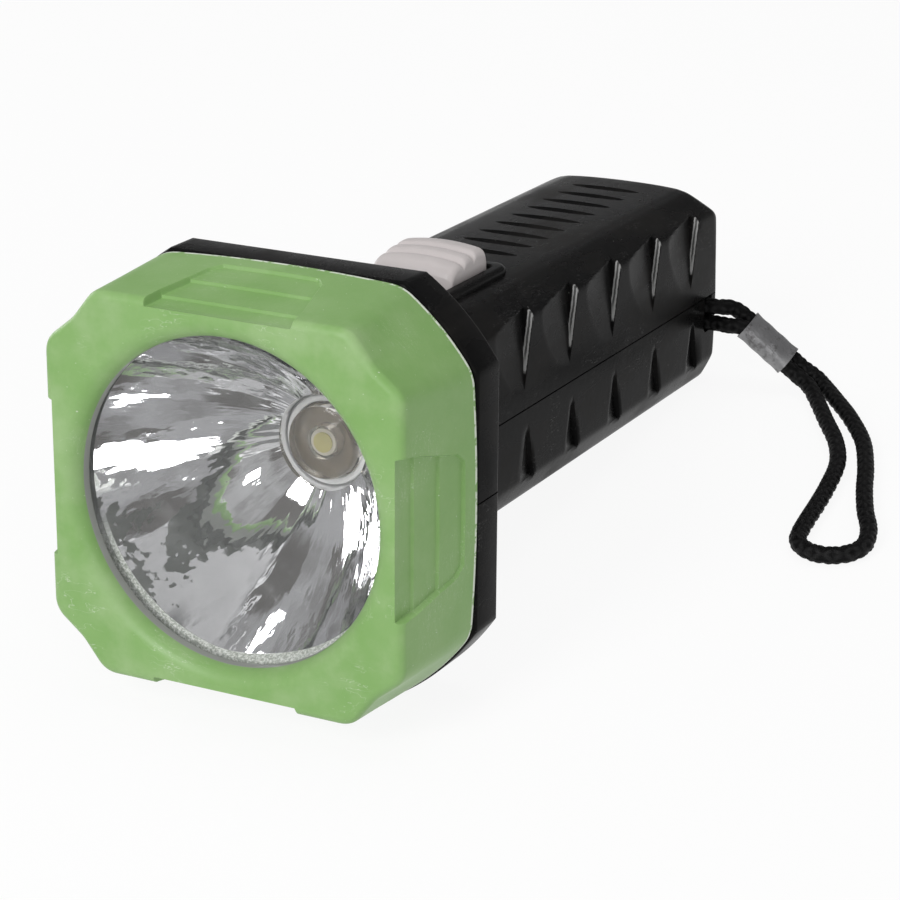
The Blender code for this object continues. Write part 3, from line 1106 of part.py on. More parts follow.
for side, pole, look in ((1.0, "plus", "red"), (-1.0, "minus", "black")):
    route = [(TAG_OUT, tag_tip, tag_over), *SIDE_WIRE_BENDS, (SIDE_WIRE_OUT, BATTERY_FRONT, SIDE_WIRE_UP),
             (SIDE_WIRE_OUT, between(BATTERY_FRONT, battery_back, 0.5), SIDE_WIRE_UP),
             (SIDE_WIRE_OUT, battery_back - RIB_THICK, SIDE_WIRE_UP), *SIDE_WIRE_REAR,
             (SIDE_WIRE_END[0], card_reach, SIDE_WIRE_END[1])]
    tube("wire_charge_" + pole, [smooth_route([(side * x, y, z) for x, y, z in route], STRAP_SAMPLE * 2.0)],
         WIRE_RADIUS, look, 1)
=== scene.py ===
"""Detailed pieces, finishes, light and camera for the square-headed LED hand torch.

Shapes are drawn in the torch's own straight frame: x to the right, y from the bezel's front face to the
tail, z up. LYING turns that frame to the way the torch lies on the table, on its collar and tail.
"""

import math

import bmesh
import bpy
import numpy as np
from mathutils import Matrix, Vector


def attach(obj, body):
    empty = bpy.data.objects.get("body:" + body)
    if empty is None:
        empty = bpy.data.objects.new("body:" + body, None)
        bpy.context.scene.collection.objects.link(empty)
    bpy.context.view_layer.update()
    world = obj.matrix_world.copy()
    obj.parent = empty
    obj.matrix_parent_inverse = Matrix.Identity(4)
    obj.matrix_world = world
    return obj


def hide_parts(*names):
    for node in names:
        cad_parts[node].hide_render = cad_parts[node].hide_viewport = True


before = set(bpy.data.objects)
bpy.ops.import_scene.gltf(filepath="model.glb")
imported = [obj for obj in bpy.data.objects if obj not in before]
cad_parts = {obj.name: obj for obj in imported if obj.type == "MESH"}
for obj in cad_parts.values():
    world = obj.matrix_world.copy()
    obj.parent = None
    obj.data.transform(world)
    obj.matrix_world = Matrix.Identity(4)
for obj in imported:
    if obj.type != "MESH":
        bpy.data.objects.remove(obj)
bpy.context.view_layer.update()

# Sizes of the torch in metres
MM_PER_M = 1000.0
GAP = 0.0003
HALF_GAP = 0.00015
CUT_PAST = 0.001
MERGE_DISTANCE = 0.000001
BEZEL_FRONT_HALF = 0.0376
BEZEL_REAR_HALF = 0.0396
BEZEL_BOW = 0.0009
BEZEL_FRONT_CUT = 0.0110
BEZEL_REAR_CUT = 0.0145
BEZEL_DEPTH = 0.0234
BEZEL_LIP = 0.0018
BEZEL_REAR_EDGE = 0.0005
BEZEL_FLUTE = 0.0009
BEZEL_CORNER_BULGE = 0.0010
BEZEL_CORNER_ROUND = 0.0024
BEZEL_WALL = 0.0024
BEZEL_POCKET_END = 0.0092
OPENING_RADIUS = 0.0315
OPENING_ROLL = 0.0038
LENS_SEAT = 0.0048
LENS_POCKET_RADIUS = 0.0345
RECESS_STATIONS = (0.0, 0.0050, 0.0120, 0.0170, 0.0190)
RECESS_HALF_WIDTHS = (0.0154, 0.0147, 0.0129, 0.0118, 0.0101)
RECESS_ENDS = (0.0050, 0.0120, 0.0190)
RECESS_DEPTHS = (0.0016, 0.0011, 0.0006)
RECESS_EDGE = 0.0005
LENS_THICK = 0.0018
FLANGE_THICK = 0.0015
MIRROR_RIM_RADIUS = 0.0321
MIRROR_NECK_RADIUS = 0.0096
MIRROR_NECK_FRONT = 0.0372
MIRROR_THROAT_RADIUS = 0.0092
MIRROR_THROAT = 0.0398
MIRROR_WALL = 0.0010
LED_LIFT = 0.0016
LIFT_POWER = 3
DOME_RADIUS = 0.0073
DOME_CROWN_RADIUS = 0.0061
DOME_CROWN_DROP = 0.0001
DOME_CROWN_SHARE = 0.6
DOME_FRONT = 0.0362
DOME_SHOULDER = 0.0009
DOME_SHOULDER_INSET = 0.0004
DOME_SHOULDER_SHARE = 0.35
DOME_BACK = 0.0410
DOME_CAVITY_RADIUS = 0.0034
DOME_CAVITY_FRONT = 0.0374
PACKAGE_RADIUS = 0.0027
PHOSPHOR_RADIUS = 0.0020
PHOSPHOR_THICK = 0.0004
RING_BORE = 0.0077
RING_LIP_RADIUS = 0.0090
RING_EDGE = 0.0003
RING_FLANGE_RADIUS = 0.0112
RING_FLANGE_THICK = 0.0009
RING_RISE = 0.0005
COLLAR_HALF = 0.0400
COLLAR_CUT = 0.0150
COLLAR_CORNER_BULGE = 0.0011
COLLAR_EDGE = 0.0010
COLLAR_LENGTH = 0.0094
COLLAR_BACK_WALL = 0.0018
COLLAR_WALL = 0.0064
COLLAR_HOLLOW_CUT = 0.0100
SPIGOT_FRONT = 0.0104
SPIGOT_TAPER = 0.0012
SPIGOT_CUT_TAPER = 0.0010
HANDLE_HALF = 0.0230
HANDLE_TOP = 0.0241
HANDLE_BOTTOM = 0.0206
HANDLE_NECK_WALL = 0.0040
HANDLE_OVERLAP = 0.0010
UPPER_OUTLINE = ((0.0230, 0.0), (0.0230, 0.0179), (0.0227, 0.0190), (0.0220, 0.0197), (0.0199, 0.0209),
                 (0.0172, 0.0224), (0.0154, 0.0232), (0.0146, 0.0233), (0.0137, 0.0236), (0.0095, 0.0239),
                 (0.0050, 0.02405), (0.0, 0.0241))
LOWER_OUTLINE = ((0.0230, 0.0), (0.0230, -0.0143), (0.0227, -0.0154), (0.0207, -0.0194), (0.0200, -0.0203),
                 (0.0186, -0.0206), (0.0, -0.0206))
UPPER_HOLLOW = ((0.0192, 0.0), (0.0192, 0.0172), (0.0140, 0.0205), (0.0, 0.0211))
LOWER_HOLLOW = ((0.0192, 0.0), (0.0192, -0.0130), (0.0170, -0.0180), (0.0, -0.0180))
TAIL_END = 0.1792
TAIL_SIDE_ROUND = 0.0022
TAIL_TOP_ROUND = 0.0050
TAIL_BOTTOM_ROUND = 0.0030
TAIL_WALL = 0.0022

# Notches: for some heights, where each one starts, where its riser stands and how deep it is there
NOTCH_PITCH = 0.02115
NOTCH_COUNT = 5
NOTCH_FIRST = 0.0813
NOTCH_HEIGHTS = (0.0034, 0.0062, 0.0100, 0.0140, 0.0184, 0.0235)
NOTCH_STARTS = (-0.0072, -0.0096, -0.0132, -0.0158, -0.0172, -0.0180)
NOTCH_RISERS = (-0.0034, -0.0028, -0.0019, -0.0010, 0.0, 0.0006)
NOTCH_DEPTHS = (-0.0002, 0.0004, 0.0009, 0.0015, 0.0021, 0.0024)
NOTCH_WALL = (0.0, 0.00010, 0.00020, 0.00032)
NOTCH_CLEAR = 0.001
NOTCH_STEPS = (34, 6)
NOTCH_CROWDING = 1.25
NOTCH_FALL = 0.9
SOFT_FIRST = 0.0794
SOFT_HEIGHTS = (-0.0158, -0.0146, -0.0110, -0.0070, -0.0032)
SOFT_STARTS = (-0.0030, -0.0028, -0.0020, -0.0010, -0.0003)
SOFT_RISERS = (0.0040, 0.0038, 0.0027, 0.0015, 0.0004)
SOFT_DEPTHS = (0.0002, 0.0013, 0.0012, 0.0008, -0.0002)
SOFT_WALL = (0.0, 0.00035, 0.00080)
SOFT_STEPS = (14, 20)
GROOVE_COUNT = 9
GROOVE_FIRST = 0.1040
GROOVE_PITCH = 0.00775
GROOVE_HALF_LENGTH = 0.0084
GROOVE_HALF_WIDTH = 0.0021
GROOVE_DEPTH = 0.0006
GROOVE_OVERRUN = 0.0002
GROOVE_ABOVE = 0.0260
GROOVE_BLUNT = 0.6
GROOVE_DISH = 0.7
GROOVE_ENDS = 0.995
GROOVE_STEPS = (25, 15)

# Slide, its rim and pocket, the tail's bores and the screws below
THUMB_HALF_WIDTH = 0.0092
THUMB_FRONT = 0.0730
THUMB_LENGTH = 0.0160
THUMB_BOTTOM = 0.0228
THUMB_CROWN = 0.0010
THUMB_CORNER = 0.0016
THUMB_COLUMNS = 36
THUMB_STEPS = 110
THUMB_EDGE_DROP = 0.75
THUMB_EDGE_PULL = 0.8
THUMB_PULL_SHARES = (0.35, 1.35)
THUMB_PROFILE = ((0.0, 0.0270), (0.0005, 0.0281), (0.0014, 0.0290), (0.0030, 0.0295), (0.0042, 0.0296),
                 (0.0048, 0.0292), (0.0053, 0.0288), (0.0057, 0.0293), (0.0064, 0.0300), (0.0076, 0.0302),
                 (0.0088, 0.0302), (0.0094, 0.0297), (0.0099, 0.0293), (0.0103, 0.0298), (0.0110, 0.0304),
                 (0.0124, 0.0305), (0.0138, 0.0304), (0.0150, 0.0300), (0.0156, 0.0293), (0.0160, 0.0280))
STEM_HALF = 0.0020
STEM_FRONT = 0.0790
STEM_BOTTOM = 0.0146
SLIDE_TRAVEL = 0.0060
RIM_OUTER_HALF = 0.0125
RIM_TOP = 0.0255
RIM_WALL = 0.0033
RIM_ROUND = 0.0012
RIM_CORNER = 0.0036
RIM_FOOT = 0.0229
RIM_BREAK = 0.0004
RIM_ARC_STEPS = 8
POCKET_FLOOR = 0.0223
POCKET_SPARE = 0.0008
POCKET_CORNER = 0.0012
SOCKET_PLACE = (-0.0060, -0.0078)
SOCKET_BARREL = 0.0037
LAMP_PLACE = (-0.0060, 0.0080)
LAMP_RADIUS = 0.0015
FRONT_SCREW = (0.0145, 0.0560)
REAR_SCREW = (0.0156, 0.1658)
SCREW_HEAD = 0.0022
SCREW_SHANK = 0.0011
SCREW_HEAD_THICK = 0.0015
SCREW_SINK = 0.0022
SCREW_GRIP = 0.0080
SCREW_TURN = 0.6
SCREW_SIDES = (32, 20)
SCREW_CROWN = (0.72, 0.22)
SCREW_CROSS = (1.25, 0.26, 0.75)

# Strap: its way from the slot in the tail through the crimp and round the bight, traced from the photo
STRAP_RADIUS = 0.0018
STRAP_SPREAD = 0.0039
STRAP_STEP = 0.00035
CRIMP_SPREAD = 0.0039
CRIMP_ROLL = math.radians(18.0)
CRIMP_START = (0.0319, 0.1755, 0.0146)
CRIMP_END = (0.0413, 0.1775, 0.0066)
CRIMP_WALL = 0.0004
CRIMP_SLACK = 0.0003
CRIMP_ROUND = 64
CRIMP_LIP = 0.00012
CRIMP_INSIDE = 0.0006
CRIMP_RINGS = 40
CRIMP_SQUARE = 3.0
CRIMP_FLAT = 0.03
CRIMP_FLARE = 0.25
CRIMP_FLARE_REACH = 0.0008
CRIMP_PRESS = 0.00010
CRIMP_PRESSES = 3.0
SEAM_PLACE = 0.0012
SEAM_WIDTH = 0.00022
SEAM_DEPTH = 0.00028
SEAM_START = 0.0002
TWIST_SPREAD = 0.0043
TWIST_RISE = 0.0006
SLOT_CENTRE = 0.1732
SLOT_ACROSS = 0.0042
SLOT_TOP_Z = -0.0022
SLOT_INNER_X = 0.0160
SLOT_CORNER = 0.0008
ANCHOR_X = 0.0080
ANCHOR_Y = 0.1728
FLOOR_GAP = 0.0001
NEAR_DESCENT = (0.0475, 0.1748, 0.0027)
NEAR_STRAND = ((0.0513, 0.1700), (0.0570, 0.1608), (0.0628, 0.1515), (0.0669, 0.1418), (0.0688, 0.1312),
               (0.0698, 0.1222), (0.0704, 0.1150))
BIGHT = ((0.0711, 0.1090), (0.0724, 0.1049), (0.0759, 0.1023), (0.0803, 0.1023), (0.0838, 0.1049),
         (0.0851, 0.1090))
FAR_STRAND = ((0.0837, 0.1152), (0.0802, 0.1227), (0.0767, 0.1317), (0.0732, 0.1420), (0.0684, 0.1533),
              (0.0617, 0.1637), (0.0558, 0.1711), (0.0508, 0.1771))
FAR_DESCENT = (0.0474, 0.1797, 0.0028)
BRAID_ROUND = 36
BRAID_STRANDS = 6
BRAID_PITCH = 0.0105
BRAID_RELIEF = 0.00034
BRAID_PROUD = 0.0001

# Where the camera of the picture stands, in the straight frame
CAMERA_EYE = (0.26351, -0.41895, 0.18020)
CAMERA_TURNS = (27.353, 18.869, 0.411)
CAMERA_LENS = 116.26
CAMERA_SENSOR = 36.0
CAMERA_NEAR = 0.01

COLLAR_FRONT = BEZEL_DEPTH + GAP
COLLAR_BACK = COLLAR_FRONT + COLLAR_LENGTH
COLLAR_CONTACT = COLLAR_BACK - COLLAR_EDGE
TILT = math.atan2(COLLAR_HALF - HANDLE_BOTTOM, TAIL_END - TAIL_BOTTOM_ROUND - COLLAR_CONTACT)
FLOOR_LEVEL = -math.sin(TILT) * COLLAR_CONTACT - math.cos(TILT) * COLLAR_HALF
FRONT_MOST = -math.sin(TILT) * (BEZEL_FRONT_HALF - BEZEL_LIP)
REAR_MOST = math.cos(TILT) * TAIL_END + math.sin(TILT) * (HANDLE_TOP - TAIL_TOP_ROUND)
MIDDLE = (FRONT_MOST + REAR_MOST) / 2.0
LYING = Matrix.Translation((0.0, -MIDDLE, -FLOOR_LEVEL)) @ Matrix.Rotation(-TILT, 4, "X")
STRAIGHT = LYING.inverted()
HOLLOW_BACK = TAIL_END - TAIL_WALL
MIRROR_FRONT = LENS_SEAT + GAP + LENS_THICK + GAP

# Node trees and finishes


class Value:
    """One number of a node tree, with Python's operators."""

    def __init__(self, nodes, socket):
        self.nodes = nodes
        self.socket = socket

    def __add__(self, other):
        return self.nodes.maths("ADD", self, other)

    def __sub__(self, other):
        return self.nodes.maths("SUBTRACT", self, other)

    def __rsub__(self, other):
        return self.nodes.maths("SUBTRACT", other, self)

    def __mul__(self, other):
        return self.nodes.maths("MULTIPLY", self, other)

    def __truediv__(self, other):
        return self.nodes.maths("DIVIDE", self, other)

    def __abs__(self):
        return self.nodes.maths("ABSOLUTE", self)

    __radd__ = __add__
    __rmul__ = __mul__


class Nodes:
    """A node tree with short ways to add nodes to it."""

    def __init__(self, tree):
        self.tree = tree

    def fill(self, socket, value):
        """Links the socket to this value, or sets it."""
        value = value.socket if isinstance(value, Value) else value
        if isinstance(value, bpy.types.NodeSocket):
            self.tree.links.new(value, socket)
        else:
            socket.default_value = value

    def node(self, kind, settings=None, **sockets):
        """A node with these settings. Sockets go by name, with _ for a space, or by n and their number."""
        made = self.tree.nodes.new(kind)
        for key, value in (settings or {}).items():
            setattr(made, key, value)
        for key, value in sockets.items():
            self.fill(made.inputs[int(key[1:]) if key[1:].isdigit() else key.replace("_", " ")], value)
        return made

    def maths(self, operation, *values):
        """One operation on these values."""
        made = self.node("ShaderNodeMath", {"operation": operation})
        for socket, value in zip(made.inputs, values):
            self.fill(socket, value)
        return Value(self, made.outputs[0])

    def showing(self):
        """1 for camera, glossy and transmission rays, 0 for the others."""
        rays = self.node("ShaderNodeLightPath").outputs
        seen = self.maths("MAXIMUM", rays["Is Camera Ray"], rays["Is Glossy Ray"])
        return self.maths("MAXIMUM", seen, rays["Is Transmission Ray"])


class Finish(Nodes):
    """A procedural material on one Principled shader."""

    def __init__(self, name, colour, roughness, metallic=0.0, **constants):
        self.material = bpy.data.materials.new(name)
        self.material.use_nodes = True
        super().__init__(self.material.node_tree)
        self.shader = self.tree.nodes["Principled BSDF"]
        self.placed = None
        self.set(Base_Color=(*colour, 1.0), Roughness=roughness, Metallic=metallic, **constants)

    def set(self, **sockets):
        """Links or sets the shader's own sockets."""
        for key, value in sockets.items():
            self.fill(self.shader.inputs[key.replace("_", " ")], value)

    def place(self):
        """Straight-frame coordinates in millimetres."""
        if self.placed is None:
            lying = self.node("ShaderNodeTexCoord").outputs["Object"]
            turned = self.node("ShaderNodeMapping", None, Vector=lying, Location=tuple(STRAIGHT.translation),
                               Rotation=tuple(STRAIGHT.to_euler()))
            self.placed = self.node("ShaderNodeVectorMath", {"operation": "SCALE"}, Vector=turned.outputs[0],
                                    Scale=MM_PER_M).outputs[0]
        return self.placed

    def axes(self):
        parts = self.node("ShaderNodeSeparateXYZ", None, Vector=self.place())
        return [Value(self, parts.outputs[index]) for index in range(3)]

    def stretched(self, scale, source=None):
        """The coordinates scaled differently along each axis."""
        return self.node("ShaderNodeVectorMath", {"operation": "MULTIPLY"}, n0=source or self.place(),
                         n1=scale).outputs[0]

    def noise(self, scale, detail=3.0, roughness=0.55, source=None):
        made = self.node("ShaderNodeTexNoise", None, Vector=source or self.place(), Scale=scale,
                         Detail=detail, Roughness=roughness)
        return Value(self, made.outputs[0])

    def attribute(self, name):
        return Value(self, self.node("ShaderNodeAttribute", {"attribute_name": name}).outputs["Fac"])

    def step(self, value, low, high):
        """0 below low, 1 above high, smooth between them. Low may be the larger one."""
        settings = {"interpolation_type": "SMOOTHSTEP"}
        return Value(self, self.node("ShaderNodeMapRange", settings, Value=value, n1=low, n2=high).outputs[0])

    def scratches(self, source, thin, patch, low, high):
        """Thin lines where the source crosses its middle, in patches of this scale."""
        return self.step(abs(source - 0.5), thin, 0.0) * self.step(self.noise(patch, 1.0), low, high)

    def mix(self, amount, first, second):
        """Colour between two colours."""
        made = self.node("ShaderNodeMix", {"data_type": "RGBA"}, n0=amount)
        for socket, colour in ((made.inputs[6], first), (made.inputs[7], second)):
            self.fill(socket, (*colour, 1.0) if isinstance(colour, tuple) else colour)
        return made.outputs[2]

    def bump(self, height, distance):
        """Height in any unit, distance in metres for one of it."""
        made = self.node("ShaderNodeBump", None, Height=height, Distance=distance, Strength=1.0)
        self.set(Normal=made.outputs[0])


def plain(name, colour, roughness, metallic=0.0, spread=0.12, grain=0.6, depth=0.00002, **constants):
    """A finish with slight mottling and a fine grain."""
    finish = Finish(name, colour, roughness, metallic, **constants)
    mottle = finish.noise(0.25, 2.0)
    dark = tuple(part * (1.0 - spread) for part in colour)
    light = tuple(min(1.0, part * (1.0 + spread)) for part in colour)
    finish.set(Base_Color=finish.mix(mottle, dark, light), Roughness=mottle * 0.12 + (roughness - 0.06))
    finish.bump(finish.noise(grain, 2.0), depth)
    return finish.material


def green_plastic():
    """Moulded green, hazy where it was handled, with pale wear along the rear edge, and painted shade in grey
    on the opening's inner wall and lens seat.
    """
    finish = Finish("green_plastic", (0.205, 0.376, 0.114), 0.40, Specular_IOR_Level=0.35)
    x, y, z = finish.axes()
    haze = finish.step(finish.noise(0.075, 4.0, 0.6), 0.38, 0.72)
    patches = finish.step(finish.noise(0.4, 5.0, 0.7), 0.45, 0.75)
    front = finish.step(y, 7.0, -0.5)
    dust = haze * 0.30 + haze * front * 0.35 + patches * 0.10
    tint = finish.step(finish.noise(0.05, 2.0), 0.3, 0.7)
    body = finish.mix(tint, (0.200, 0.372, 0.112), (0.230, 0.402, 0.138))
    hazy = finish.mix(dust, body, (0.335, 0.480, 0.235))
    edge = finish.step(y, 22.35, 22.50) * finish.step(finish.noise(0.55, 4.0, 0.7), 0.44, 0.50)
    specks = finish.step(finish.noise(1.5, 2.0), 0.735, 0.76)
    worn = finish.maths("MAXIMUM", edge * 0.85, specks * 0.5)
    streaks = finish.noise(0.35, 3.0, 0.6, finish.stretched((0.3, 3.0, 0.8)))
    lines = finish.scratches(streaks, 0.006, 0.06, 0.5, 0.65)
    marked = finish.mix(finish.maths("MAXIMUM", worn, lines * 0.35), hazy, (0.78, 0.82, 0.74))
    across = finish.maths("SQRT", x * x + z * z)
    # Painted shade: the opening's inner wall and the lens seat behind it are painted grey where they lie in
    # shadow.
    painted_seat_shade = finish.step(y, 3.00, 3.15) * finish.step(across, 35.2, 34.9) * finish.step(y, 9.6, 9.3)
    finish.set(Base_Color=finish.mix(painted_seat_shade, marked, (0.30, 0.31, 0.29)), Roughness=0.38 + dust * 0.25)
    finish.bump(finish.noise(0.9, 3.0) * 0.6 + patches * 0.3, 0.00006)
    return finish.material


def riser_scuffs_and_highlights(finish):
    """Pale lines down the risers of the upper half's notches: partly wear, partly painted highlight where the
    risers catch light from above.
    """
    x, y, z = finish.axes()
    pitch = NOTCH_PITCH * MM_PER_M
    along = y - (z - NOTCH_HEIGHTS[4] * MM_PER_M) * 0.2 - NOTCH_FIRST * MM_PER_M
    nearest = finish.maths("ROUND", along / pitch)
    off = along - nearest * pitch
    in_row = finish.step(abs(nearest - 2.0), 2.6, 2.4)
    side = finish.step(abs(x), 18.0, 19.0)
    ragged = (finish.noise(1.1, 4.0, 0.7) - 0.5) * 1.5
    waver = (finish.noise(0.30, 2.0, 0.5, finish.stretched((0.0, 0.25, 1.0))) - 0.5) * 1.6
    sink = HANDLE_HALF * MM_PER_M - abs(x) + ragged * 0.25
    line = finish.step(sink, 1.35, 1.15) * finish.step(sink, 0.10, 0.25)
    inner = finish.step(abs(sink - 0.75 + waver * 0.3), 0.28, 0.16) * finish.step(z, 8.5, 12.0) * 0.8
    on_riser = finish.step(abs(off - 0.15), 0.65, 0.40)
    reach = finish.step(z + ragged * 1.4, 7.2, 8.2) * finish.step(z + ragged * 0.8, 20.6, 19.8)
    return line * on_riser * reach * in_row * side * (1.0 - inner)


def black_plastic(name, with_scuffs_and_highlights):
    """Satin black with faint smears, fine scratches and specks, and where asked pale riser lines that are
    partly wear and partly painted highlight.
    """
    finish = Finish(name, (0.0068, 0.0068, 0.0069), 0.25, Specular_IOR_Level=0.026)
    smear = finish.noise(0.10, 4.0, 0.6, finish.stretched((1.0, 0.35, 1.0)))
    cloud = finish.step(smear, 0.40, 0.75)
    base = finish.mix(cloud, (0.0058, 0.0058, 0.0059), (0.0130, 0.0122, 0.0116))
    roughness = 0.24 + cloud * 0.16
    fine = finish.noise(0.8, 3.0, 0.6, finish.stretched((1.0, 0.2, 1.0)))
    lines = finish.scratches(fine, 0.004, 0.11, 0.52, 0.68)
    specks = finish.step(finish.noise(1.3, 2.0), 0.765, 0.785)
    marks = finish.maths("MAXIMUM", lines * 0.30, specks * 0.55)
    # Pale riser lines, partly wear and partly painted highlight, also rougher.
    if with_scuffs_and_highlights:
        scuff_and_highlight = riser_scuffs_and_highlights(finish)
        marks = finish.maths("MAXIMUM", marks, scuff_and_highlight)
        roughness = roughness + scuff_and_highlight * 0.3
    finish.set(Base_Color=finish.mix(marks, base, (0.34, 0.34, 0.335)), Roughness=roughness)
    finish.bump(finish.noise(0.45, 3.0) * 0.5 + marks * 0.8, 0.00005)
    return finish.material


def bowl_metal():
    """Thin bright coating on a moulded bowl: long soft waves from the neck to the rim, satin near the rim."""
    finish = Finish("bowl_metal", (0.86, 0.86, 0.87), 0.05, 1.0)
    depth = finish.attribute("depth")
    point = finish.node("ShaderNodeCombineXYZ", None, X=finish.attribute("turn"), Y=depth, Z=0.0).outputs[0]
    broad = finish.noise(1.0, 1.5, 0.4, finish.stretched((9.0, 0.04, 1.0), point))
    middling = finish.noise(1.0, 2.0, 0.5, finish.stretched((24.0, 0.14, 1.0), point))
    fine_waves = finish.noise(1.0, 2.0, 0.5, finish.stretched((60.0, 0.5, 1.0), point))
    x, _, z = finish.axes()
    reach = finish.step(x, -8.0, 10.0) * 1.5 + 0.9
    rim = finish.step(depth - MIRROR_FRONT * MM_PER_M, reach + 0.1, reach - 0.1) * finish.step(z, -6.0, -18.0)
    grit = finish.step(finish.noise(2.0, 3.0, 0.7), 0.40, 0.62)
    satin = finish.mix(grit, (0.36, 0.39, 0.34), (0.80, 0.82, 0.78))
    finish.set(Base_Color=finish.mix(rim, (0.85, 0.85, 0.86), satin), Metallic=1.0 - rim * 0.9,
               Roughness=0.03 + rim * 0.42)
    finish.bump(broad + middling * 0.20 + fine_waves * 0.014, 0.00045)
    return finish.material


def braid_nylon():
    """Black nylon, with a painted highlight on each raised strand and painted shade between the strands."""
    finish = Finish("braid_nylon", (0.006, 0.006, 0.006), 0.55, Specular_IOR_Level=0.12)
    fibre = finish.noise(2.5, 3.0, 0.7)
    raised = finish.step(finish.attribute("raised"), 0.35, 1.0)
    # Painted highlight and shade: raised strands lighter, sunk ones darker.
    finish.set(Base_Color=finish.mix(raised, (0.0012, 0.0012, 0.0013), (0.0120, 0.0120, 0.0122)),
               Roughness=0.42 + fibre * 0.3)
    finish.bump(fibre, 0.00008)
    return finish.material


def pressed_aluminium():
    """Dull pressed sheet with darker blots."""
    finish = Finish("pressed_aluminium", (0.40, 0.40, 0.41), 0.40, 1.0)
    streak = finish.noise(0.5, 4.0, 0.65, finish.stretched((0.5, 1.2, 1.0)))
    blot = finish.step(finish.noise(0.55, 4.0, 0.7), 0.5, 0.68)
    finish.set(Base_Color=finish.mix(blot * 0.7, (0.29, 0.29, 0.295), (0.13, 0.125, 0.125)),
               Roughness=0.34 + streak * 0.3)
    finish.bump(streak + blot * 0.4, 0.00016)
    return finish.material


def dome_plastic():
    """Clear moulded plastic with a little haze."""
    finish = Finish("dome_plastic", (0.93, 0.91, 0.86), 0.02, Transmission_Weight=1.0, IOR=1.35)
    finish.set(Roughness=0.02 + finish.step(finish.noise(0.12, 4.0), 0.45, 0.8) * 0.02)
    return finish.material


def flat_window():
    """A thin clear plate: almost all see-through, with a little dust and a few fine scratches."""
    finish = Finish("lens_plastic", (0.80, 0.82, 0.82), 0.10, Alpha=0.07, Specular_IOR_Level=0.5)
    dust = finish.step(finish.noise(0.16, 4.0, 0.6), 0.48, 0.75)
    line = finish.noise(0.16, 2.0, 0.5, finish.stretched((0.7, 1.0, 2.2)))
    scratch = finish.scratches(line, 0.0022, 0.07, 0.50, 0.60)
    finish.set(Alpha=dust * 0.05 + scratch * 0.20 + 0.04, Roughness=dust * 0.3 + 0.08)
    return finish.material


green = green_plastic()
# The upper half's black carries the riser lines with their painted highlight.
black_upper = black_plastic("black_plastic_upper", True)
black_lower = black_plastic("black_plastic_lower", False)
braid = braid_nylon()
sleeve_metal = pressed_aluminium()
slide_plastic = plain("pale_slide", (0.54, 0.50, 0.495), 0.42, spread=0.05, Specular_IOR_Level=0.35)
steel = plain("plated_steel", (0.45, 0.45, 0.46), 0.28, 1.0, spread=0.15)
LOOKS = {"lens": flat_window(), "led_dome": dome_plastic()}
for nodes, name, colour, roughness, rest in (
        ("led_ring", "ring_plastic", (0.74, 0.74, 0.73), 0.36, {"spread": 0.10}),
        ("led_package", "carrier_white", (0.60, 0.59, 0.54), 0.5, {}),
        ("led_phosphor", "phosphor_yellow", (0.50, 0.47, 0.20), 0.55, {"spread": 0.05}),
        ("led_board", "resin_board", (0.17, 0.140, 0.105), 0.5, {"spread": 0.25}),
        ("led_retainer", "retainer_black", (0.02, 0.02, 0.02), 0.5, {}),
        ("switch_base", "switch_black", (0.015, 0.015, 0.015), 0.5, {}),
        ("switch_carrier", "carrier_pale", (0.62, 0.61, 0.57), 0.5, {}),
        ("battery", "battery_wrap", (0.02, 0.05, 0.20), 0.35, {"spread": 0.2}),
        ("battery_pad", "foam_pad", (0.05, 0.05, 0.05), 0.9, {"grain": 2.5, "depth": 0.0002}),
        ("charge_board", "card_green", (0.03, 0.15, 0.06), 0.4, {"spread": 0.2}),
        ("board_capacitor", "capacitor_sleeve", (0.02, 0.05, 0.22), 0.35, {}),
        ("board_regulator", "chip_black", (0.02, 0.02, 0.02), 0.5, {}),
        ("board_resistor", "resistor_tan", (0.55, 0.40, 0.22), 0.45, {}),
        ("charge_socket", "socket_black", (0.014, 0.014, 0.014), 0.4, {}),
        ("charge_lamp", "lamp_red", (0.42, 0.02, 0.015), 0.2, {"spread": 0.1, "Coat_Weight": 0.5}),
        ("wire_switch wire_led_plus wire_charge_plus", "wire_red", (0.40, 0.02, 0.015), 0.45, {}),
        ("wire_led_minus wire_charge_minus", "wire_black", (0.015, 0.015, 0.015), 0.45, {}),
        ("switch_contact switch_terminal_front switch_terminal_middle switch_terminal_rear", "brass_leaf",
         (0.60, 0.44, 0.18), 0.3, {"metallic": 1.0})):
    look = plain(name, colour, roughness, **rest)
    LOOKS.update((node, look) for node in nodes.split())
for name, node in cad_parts.items():
    node.data.materials.clear()
    node.data.materials.append(LOOKS.get(name, steel))

# Making meshes


def link(name, data):
    """A new object in the scene."""
    made = bpy.data.objects.new(name, data)
    bpy.context.scene.collection.objects.link(made)
    return made


def outward(mesh, merged=False):
    """The same mesh with its normals pointing out, and with points that coincide merged if that is asked."""
    work = bmesh.new()
    work.from_mesh(mesh)
    if merged:
        bmesh.ops.remove_doubles(work, verts=work.verts, dist=MERGE_DISTANCE)
    bmesh.ops.recalc_face_normals(work, faces=work.faces)
    work.to_mesh(mesh)
    work.free()
    return mesh


def add_piece(name, mesh, material, replaced=(), body="torch", angle=35.0):
    """Puts a straight-frame mesh in the scene and on its body."""
    mesh.name = name
    mesh.transform(LYING)
    outward(mesh, merged=True)
    mesh.materials.clear()
    mesh.materials.append(material)
    mesh.shade_smooth()
    mesh.set_sharp_from_angle(angle=math.radians(angle))
    piece = link(name, mesh)
    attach(piece, body)
    if replaced:
        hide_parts(*replaced)
    return piece


